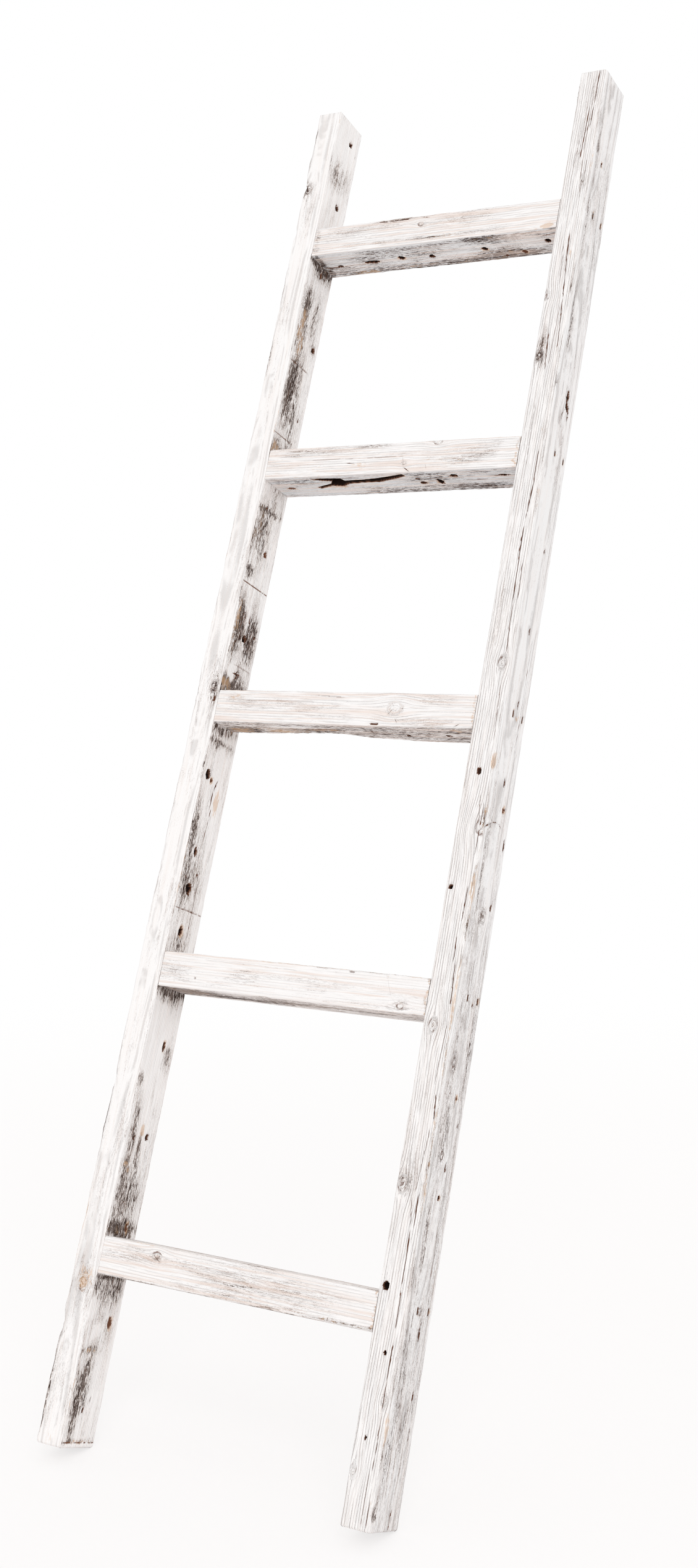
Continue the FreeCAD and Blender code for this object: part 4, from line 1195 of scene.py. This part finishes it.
def dirt_lines(tree, ring, lines, pattern):
    """Dirt in the early wood of each ring, and finer hairs between, broken along the grain."""
    near_ring = add(tree, MATH, {0: ring, 1: 0.5}, operation="PINGPONG")
    hair = add(tree, MATH, {0: ring, 1: HAIRS_PER_RING}, operation="MULTIPLY")
    near_hair = add(tree, MATH, {0: hair, 1: 0.5}, operation="PINGPONG")
    frayed = uneven(tree, near_ring, [(pattern["specks"], 0.34)])
    strokes = []
    for distance, edge, gaps, gap_edge in ((frayed, (0.19, 0.05), "line gaps", (0.38, 0.54)),
                                           (near_hair, (0.18, 0.04), "hair gaps", (0.42, 0.58))):
        stroke = add(tree, RANGE, between(distance, *edge), **SMOOTH)
        kept = add(tree, RANGE, between(pattern[gaps], *gap_edge), **SMOOTH)
        strokes.append(add(tree, MATH, {0: stroke, 1: kept}, operation="MULTIPLY"))
    faint = add(tree, MATH, {0: strokes[1], 1: 0.9}, operation="MULTIPLY")
    line = add(tree, MATH, {0: strokes[0], 1: faint}, operation="MAXIMUM")
    return add(tree, MATH, {0: line, 1: lines}, operation="MULTIPLY")


def paint_wear(tree, bare, pattern):
    """How far the paint has worn at each place, as fibres, brush streaks and flakes leave it."""
    # worn places keep ragged flakes of paint between bare and dirty wood
    ragged = add(tree, RANGE, between(bare, 0.26, 0.55), **SMOOTH)
    flaking = add(tree, MATH, {0: ragged, 1: 3.4}, operation="MULTIPLY")
    wear = add(tree, MATH, {0: bare, 1: MOST_BARE}, operation="MINIMUM")
    return uneven(tree, wear, (
        (pattern["fibres"], 1.8), (pattern["brush streaks"], 0.4), (pattern["blotches"], 0.7),
        (pattern["specks"], 1.3), (pattern["flakes"], flaking)))


def stain_mask(tree, warm, pattern):
    """Where a warm stain shows: in flakes, more of them towards its middle."""
    stained = add(tree, MATH, {0: warm, 1: 0.8, 2: pattern["blotches"]}, operation="MULTIPLY_ADD")
    stained = add(tree, MATH, {0: pattern["flakes"], 1: 1.4, 2: stained},
                  operation="MULTIPLY_ADD")
    flaked = add(tree, RANGE, between(stained, 1.6, 1.8), **SMOOTH)
    edge = add(tree, RANGE, between(warm, 0.0, 0.5), **SMOOTH)
    return add(tree, MATH, {0: edge, 1: flaked}, operation="MULTIPLY")


def limewashed_timber(name, colours, pinkness):
    """Limewashed reclaimed pine: chalk-white paint brushed on old sawn boards and rubbed back.

    The paint sits on the hard ridges, so the eye sees white broken by fine grey lines, with
    silver-grey wood where it has gone and brown-black in the splits. It is matt all over.
    """
    material, tree = new_material(name)
    grain, state, finish = (add(tree, "ShaderNodeAttribute", out="Vector", attribute_name=layer)
                            for layer in LOOK_LAYERS)
    ring = add(tree, "ShaderNodeSeparateXYZ", {0: grain})
    bare, cavity, warm = add(tree, "ShaderNodeSeparateXYZ", {0: state}).node.outputs
    # the finish layer holds each place's line strength, its painted shade and its depth
    lines, painted_shade, _ = add(tree, "ShaderNodeSeparateXYZ", {0: finish}).node.outputs
    pattern = {key: streaks(tree, grain, *sizes) for key, sizes in PATTERNS.items()}

    line = dirt_lines(tree, ring, lines, pattern)
    wear = paint_wear(tree, bare, pattern)
    thin, gone, dirtiest = (add(tree, RANGE, between(wear, *limits), **SMOOTH)
                            for limits in (THINNING, GOING, DIRTIEST))
    # short dirty cracks in the paint, closer together where it is thinner
    tired = add(tree, MATH, {0: bare, 1: MOST_CRACKLE}, operation="MINIMUM")
    cracked = add(tree, MATH, {0: tired, 1: 0.7, 2: pattern["flecks"]}, operation="MULTIPLY_ADD")
    crackle = add(tree, RANGE, between(cracked, 0.64, 0.74), **SMOOTH)
    blush = add(tree, RANGE, between(pattern["brush streaks"], 0.42, 0.7), **SMOOTH)
    # rim and inside: the mouths and insides of holes and splits, brown then near-black; partly dirt
    # and rot, partly painted shade in the recesses
    rim = add(tree, RANGE, between(cavity, 0.06, 0.42), **SMOOTH)
    inside = add(tree, RANGE, between(cavity, 0.45, 0.9), **SMOOTH)

    # painted shade: faces turned from the light get darker, cooler paint and wood
    paint = layered(tree, colours.paint, (
        (thin, 0.52, colours.thin_paint), (painted_shade, 0.75, colours.paint_in_painted_shade),
        (crackle, 0.32, colours.groove)))
    wood = layered(tree, colours.wood, (
        (painted_shade, 0.8, colours.wood_in_painted_shade), (dirtiest, 1.0, colours.dark_wood)))
    colour = layered(tree, paint, (
        (gone, 1.0, wood), (stain_mask(tree, warm, pattern), 0.56, colours.warm_stain),
        (line, 0.8, colours.groove), (blush, pinkness, colours.blush),
        (rim, 1.0, colours.hollow_rim), (inside, 1.0, colours.hollow)))

    height = add(tree, MATH, {0: pattern["fibres"], 1: 0.5}, operation="MULTIPLY")
    for mask, share in ((line, -1.0), (gone, -0.35)):
        height = add(tree, MATH, {0: mask, 1: share, 2: height}, operation="MULTIPLY_ADD")
    bump = add(tree, "ShaderNodeBump", {"Height": height, "Strength": 0.55, "Distance": 0.3 * MM})
    roughness = add(tree, MATH, {0: gone, 1: 0.12, 2: 0.78}, operation="MULTIPLY_ADD")
    shader = add(tree, "ShaderNodeBsdfPrincipled", {
        "Base Color": colour, "Roughness": roughness, "Normal": bump,
        "IOR": 1.45, "Specular IOR Level": 0.25})
    add(tree, "ShaderNodeOutputMaterial", {"Surface": shader})
    return material


RUST_SPOT = 1.5385  # mm across, which is coarse enough to show on a 7 mm head


def rusted_iron(colours):
    """Wrought cut nails, rusted: dark scale with orange-brown bloom, dull and rough."""
    material, tree = new_material("Rusted wrought iron, square-cut nails")
    place = add(tree, "ShaderNodeTexCoord", out="Object")
    spots = add(tree, NOISE, {
        "Vector": place, "Scale": 1 / (RUST_SPOT * MM), "Detail": 4.0, "Roughness": 0.65})
    bloom = add(tree, RANGE, between(spots, 0.38, 0.64))
    rough = add(tree, RANGE, {**between(spots, 0.3, 0.7), "To Min": 0.62, "To Max": 0.92})
    metal = add(tree, RANGE, {**between(spots, 0.38, 0.6), "To Min": 0.7, "To Max": 0.05})
    colour = layered(tree, colours.iron, ((bloom, 1.0, colours.rust),))
    bump = add(tree, "ShaderNodeBump", {"Height": spots, "Strength": 0.7, "Distance": 0.25 * MM})
    shader = add(tree, "ShaderNodeBsdfPrincipled", {
        "Base Color": colour, "Roughness": rough, "Metallic": metal, "Normal": bump})
    add(tree, "ShaderNodeOutputMaterial", {"Surface": shader})
    return material


FLOOR_FADE = (0.9, 3.2)  # metres from the ladder over which the floor fades into the backdrop
FLOOR_GLOW = 0.7  # the backdrop's share of the floor beside the ladder


def painted_floor(colours):
    """Matt painted studio floor, which keeps the shadow and fades into the white backdrop."""
    material, tree = new_material("Matt white painted floor")
    place = add(tree, "ShaderNodeTexCoord", out="Object")
    far = add(tree, "ShaderNodeVectorMath", {0: place}, "Value", operation="LENGTH")
    fade = add(tree, RANGE, {**between(far, *FLOOR_FADE), "To Min": FLOOR_GLOW}, **SMOOTH)
    seen = add(tree, "ShaderNodeLightPath", out="Is Camera Ray")
    share = add(tree, MATH, {0: fade, 1: seen}, operation="MULTIPLY")
    matt = add(tree, "ShaderNodeBsdfPrincipled", {
        "Base Color": colours.floor, "Roughness": 0.9, "Specular IOR Level": 0.1})
    glow = layered(tree, colours.floor, ((fade, 1.0, WHITE),))
    white = add(tree, "ShaderNodeEmission", {"Color": glow, "Strength": 1.0})
    mixed = add(tree, "ShaderNodeMixShader", {0: share, 1: matt, 2: white})
    add(tree, "ShaderNodeOutputMaterial", {"Surface": mixed})
    return material


# ---- stage -------------------------------------------------------------------------------

FLOOR_HALF = 9.0
AMBIENT = 0.85
KEY_STRENGTH = 0.6
KEY_SOFTNESS = math.radians(34)
KEY_TURN = (math.radians(50), 0.0, math.radians(36))

# the photograph's camera, matched to the corners of the timbers
PHOTO_WIDTH_PX, PHOTO_HEIGHT_PX = 1130, 2538
CAMERA_PLACE = (1.2294, -1.7758, 0.9673)
CAMERA_TURN = (math.radians(90.231), math.radians(-0.148), math.radians(29.771))
FOCAL_PX = 3035.6
CENTRE_PX = (628.26, 1023.69)
SENSOR_MM = 36.0
CAMERA_REACH = 100.0


def make_camera():
    """The photograph's camera, with its lens and the shift that its crop gives."""
    camera = bpy.data.cameras.new("photo_view")
    camera.sensor_fit = "AUTO"
    camera.sensor_width = SENSOR_MM
    camera.lens = FOCAL_PX * SENSOR_MM / PHOTO_HEIGHT_PX
    camera.shift_x = (PHOTO_WIDTH_PX / 2 - CENTRE_PX[0]) / PHOTO_HEIGHT_PX
    camera.shift_y = (CENTRE_PX[1] - PHOTO_HEIGHT_PX / 2) / PHOTO_HEIGHT_PX
    camera.dof.use_dof = False
    camera.clip_end = CAMERA_REACH
    item = bpy.data.objects.new("photo_view", camera)
    item.location = CAMERA_PLACE
    item.rotation_euler = CAMERA_TURN
    bpy.context.scene.collection.objects.link(item)
    bpy.context.scene.camera = item


def make_floor(colours):
    """A wide floor, which the fading paint carries into the backdrop."""
    mesh = bpy.data.meshes.new("floor")
    h = FLOOR_HALF
    mesh.from_pydata([(-h, -h, 0), (h, -h, 0), (h, h, 0), (-h, h, 0)], [], [(0, 1, 2, 3)])
    mesh.materials.append(painted_floor(colours))
    floor = bpy.data.objects.new("floor", mesh)
    bpy.context.scene.collection.objects.link(floor)


def make_light():
    """A bright even room, white where it is seen, and one soft lamp from the front right."""
    world = bpy.data.worlds.new("white_studio")
    world.use_nodes = True
    tree = world.node_tree
    tree.nodes.clear()
    path = add(tree, "ShaderNodeLightPath").node.outputs
    seen = path["Is Camera Ray"]
    for ray in ("Is Glossy Ray", "Is Transmission Ray"):
        seen = add(tree, MATH, {0: seen, 1: path[ray]}, operation="MAXIMUM")
    level = add(tree, RANGE, {"Value": seen, "To Min": AMBIENT, "To Max": 1.0})
    back = add(tree, "ShaderNodeBackground", {"Color": WHITE, "Strength": level})
    add(tree, "ShaderNodeOutputWorld", {"Surface": back})
    bpy.context.scene.world = world
    lamp = bpy.data.lights.new("soft_key", "SUN")
    lamp.energy = KEY_STRENGTH
    lamp.angle = KEY_SOFTNESS
    item = bpy.data.objects.new("soft_key", lamp)
    item.rotation_euler = KEY_TURN
    bpy.context.scene.collection.objects.link(item)


# ---- the ladder's timbers ----------------------------------------------------------------

NAIL_PLACES = (0.457, 0.874)  # through the timber's depth, from the front
NAIL_RISE = 8.0  # above the middle of a rung's height


def rung_bottom(sizes, number):
    """How far up the rails a rung's underside lies; rung 1 is the top one."""
    below = (len(RUNGS) - number) * sizes.rung_pitch
    return (sizes.lowest_rung_top - sizes.rung_height + below) / MM


def rail_timber(sizes, name):
    """A rail, from its left front edge, with the nails of every rung."""
    is_left = name == "left_rail"
    width, span = sizes.rail_width / MM, sizes.inner_span / MM
    arris, worn = sizes.arris_radius / MM, sizes.worn_arris_radius / MM
    depth = sizes.timber_depth / MM
    nail_rows = [rung_bottom(sizes, number) + sizes.rung_height / MM / 2 + NAIL_RISE
                 for number in RUNGS]
    front, far = (LEFT_FRONT, LEFT_INNER) if is_left else (RIGHT_FRONT, RIGHT_OUTER)
    return Timber(
        name=name, length=sizes.rail_length / MM, width=width, depth=depth,
        across=-span / 2 - width if is_left else span / 2, up=0.0, is_rail=True,
        seed=3 if is_left else 5, pith=(14.0, -70.0) if is_left else (-58.0, 26.0),
        radii=(worn, arris, arris, arris) if is_left else (arris, worn, arris, arris),
        end_round=(2.6, 1.8),
        wear={"front": front, "far": far, "rear": PLAIN_BACK, "near": PLAIN_SIDE},
        spacing={"front": 0.78, "far": 0.86, "rear": 1.5, "near": 1.3}, row_count=488,
        outer="near" if is_left else "far", chips=EDGE_CHIPS[name],
        nails=tuple(product(nail_rows, [place * depth for place in NAIL_PLACES])))


def rung_timber(sizes, number):
    """A rung, from the left end of its front face's lower edge."""
    arris = sizes.arris_radius / MM
    return Timber(
        name=f"rung_{number}", length=sizes.inner_span / MM, width=sizes.rung_height / MM,
        depth=sizes.timber_depth / MM, across=-sizes.inner_span / MM / 2,
        up=rung_bottom(sizes, number), is_rail=False, seed=20 + number,
        pith=(-46.0 - 6 * number, 34.0 + 5 * number), radii=(arris,) * 4, end_round=(0.4, 0.4),
        wear={"front": RUNG_FRONTS[number], "far": RUNG_TOP, "rear": RUNG_BACK,
              "near": RUNG_UNDERSIDES[number]},
        spacing={"front": 0.75, "far": 1.3, "rear": 1.3, "near": 0.8}, row_count=420,
        worn_edge=WORN_EDGES.get(number, ()))


def dress(timber, context, material):
    """Builds a timber's visible piece in the place of its CAD node."""
    sizes = context.scene.ladder_sizes
    piece = make_timber(timber, sizes.lean_angle, sizes.ring_pitch / MM, material)
    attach(piece, BODY)
    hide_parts(timber.name)


class LADDER_OT_rails(bpy.types.Operator):
    """Builds the two rails"""

    bl_idname = "ladder.rails"
    bl_label = "Rails"

    def execute(self, context):
        material = limewashed_timber("Limewashed reclaimed pine, rails",
                                     context.scene.ladder_colours, RAIL_BLUSH)
        for name in ("left_rail", "right_rail"):
            dress(rail_timber(context.scene.ladder_sizes, name), context, material)
        return {"FINISHED"}


class LADDER_OT_rungs(bpy.types.Operator):
    """Builds the five rungs"""

    bl_idname = "ladder.rungs"
    bl_label = "Rungs"

    def execute(self, context):
        material = limewashed_timber("Limewashed reclaimed pine, rungs",
                                     context.scene.ladder_colours, RUNG_BLUSH)
        for number in RUNGS:
            dress(rung_timber(context.scene.ladder_sizes, number), context, material)
        return {"FINISHED"}


class LADDER_OT_nails(bpy.types.Operator):
    """Gives the CAD nails their rusted iron finish"""

    bl_idname = "ladder.nails"
    bl_label = "Nails"

    def execute(self, context):
        iron = rusted_iron(context.scene.ladder_colours)
        for name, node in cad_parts.items():
            if "nails" in name:
                for slot in node.material_slots:
                    slot.material = iron
        return {"FINISHED"}


class LADDER_OT_studio(bpy.types.Operator):
    """Sets up the floor, the light and the photograph's camera"""

    bl_idname = "ladder.studio"
    bl_label = "Studio"

    def execute(self, context):
        make_camera()
        make_floor(context.scene.ladder_colours)
        make_light()
        context.scene.view_settings.view_transform = "Standard"
        return {"FINISHED"}


class LADDER_PT_panel(bpy.types.Panel):
    """Lists the ladder's sizes, colours and steps"""

    bl_idname = "LADDER_PT_panel"
    bl_label = "Blanket ladder"
    bl_space_type = "VIEW_3D"
    bl_region_type = "UI"
    bl_category = "Ladder"

    def draw(self, context):
        layout = self.layout
        for group in (context.scene.ladder_sizes, context.scene.ladder_colours):
            box = layout.box()
            for name in group.__annotations__:
                box.prop(group, name)
        for operator in STEPS:
            layout.operator(operator.bl_idname)


STEPS = (LADDER_OT_studio, LADDER_OT_rails, LADDER_OT_rungs, LADDER_OT_nails)
CLASSES = (LadderSizes, LadderColours, *STEPS, LADDER_PT_panel)


def register():
    for item in CLASSES:
        bpy.utils.register_class(item)
    bpy.types.Scene.ladder_sizes = PointerProperty(type=LadderSizes)
    bpy.types.Scene.ladder_colours = PointerProperty(type=LadderColours)


def unregister():
    del bpy.types.Scene.ladder_colours
    del bpy.types.Scene.ladder_sizes
    for item in reversed(CLASSES):
        bpy.utils.unregister_class(item)


def main():
    register()
    bpy.ops.ladder.studio()
    bpy.ops.ladder.rails()
    bpy.ops.ladder.rungs()
    bpy.ops.ladder.nails()


if __name__ == "__main__":
    main()
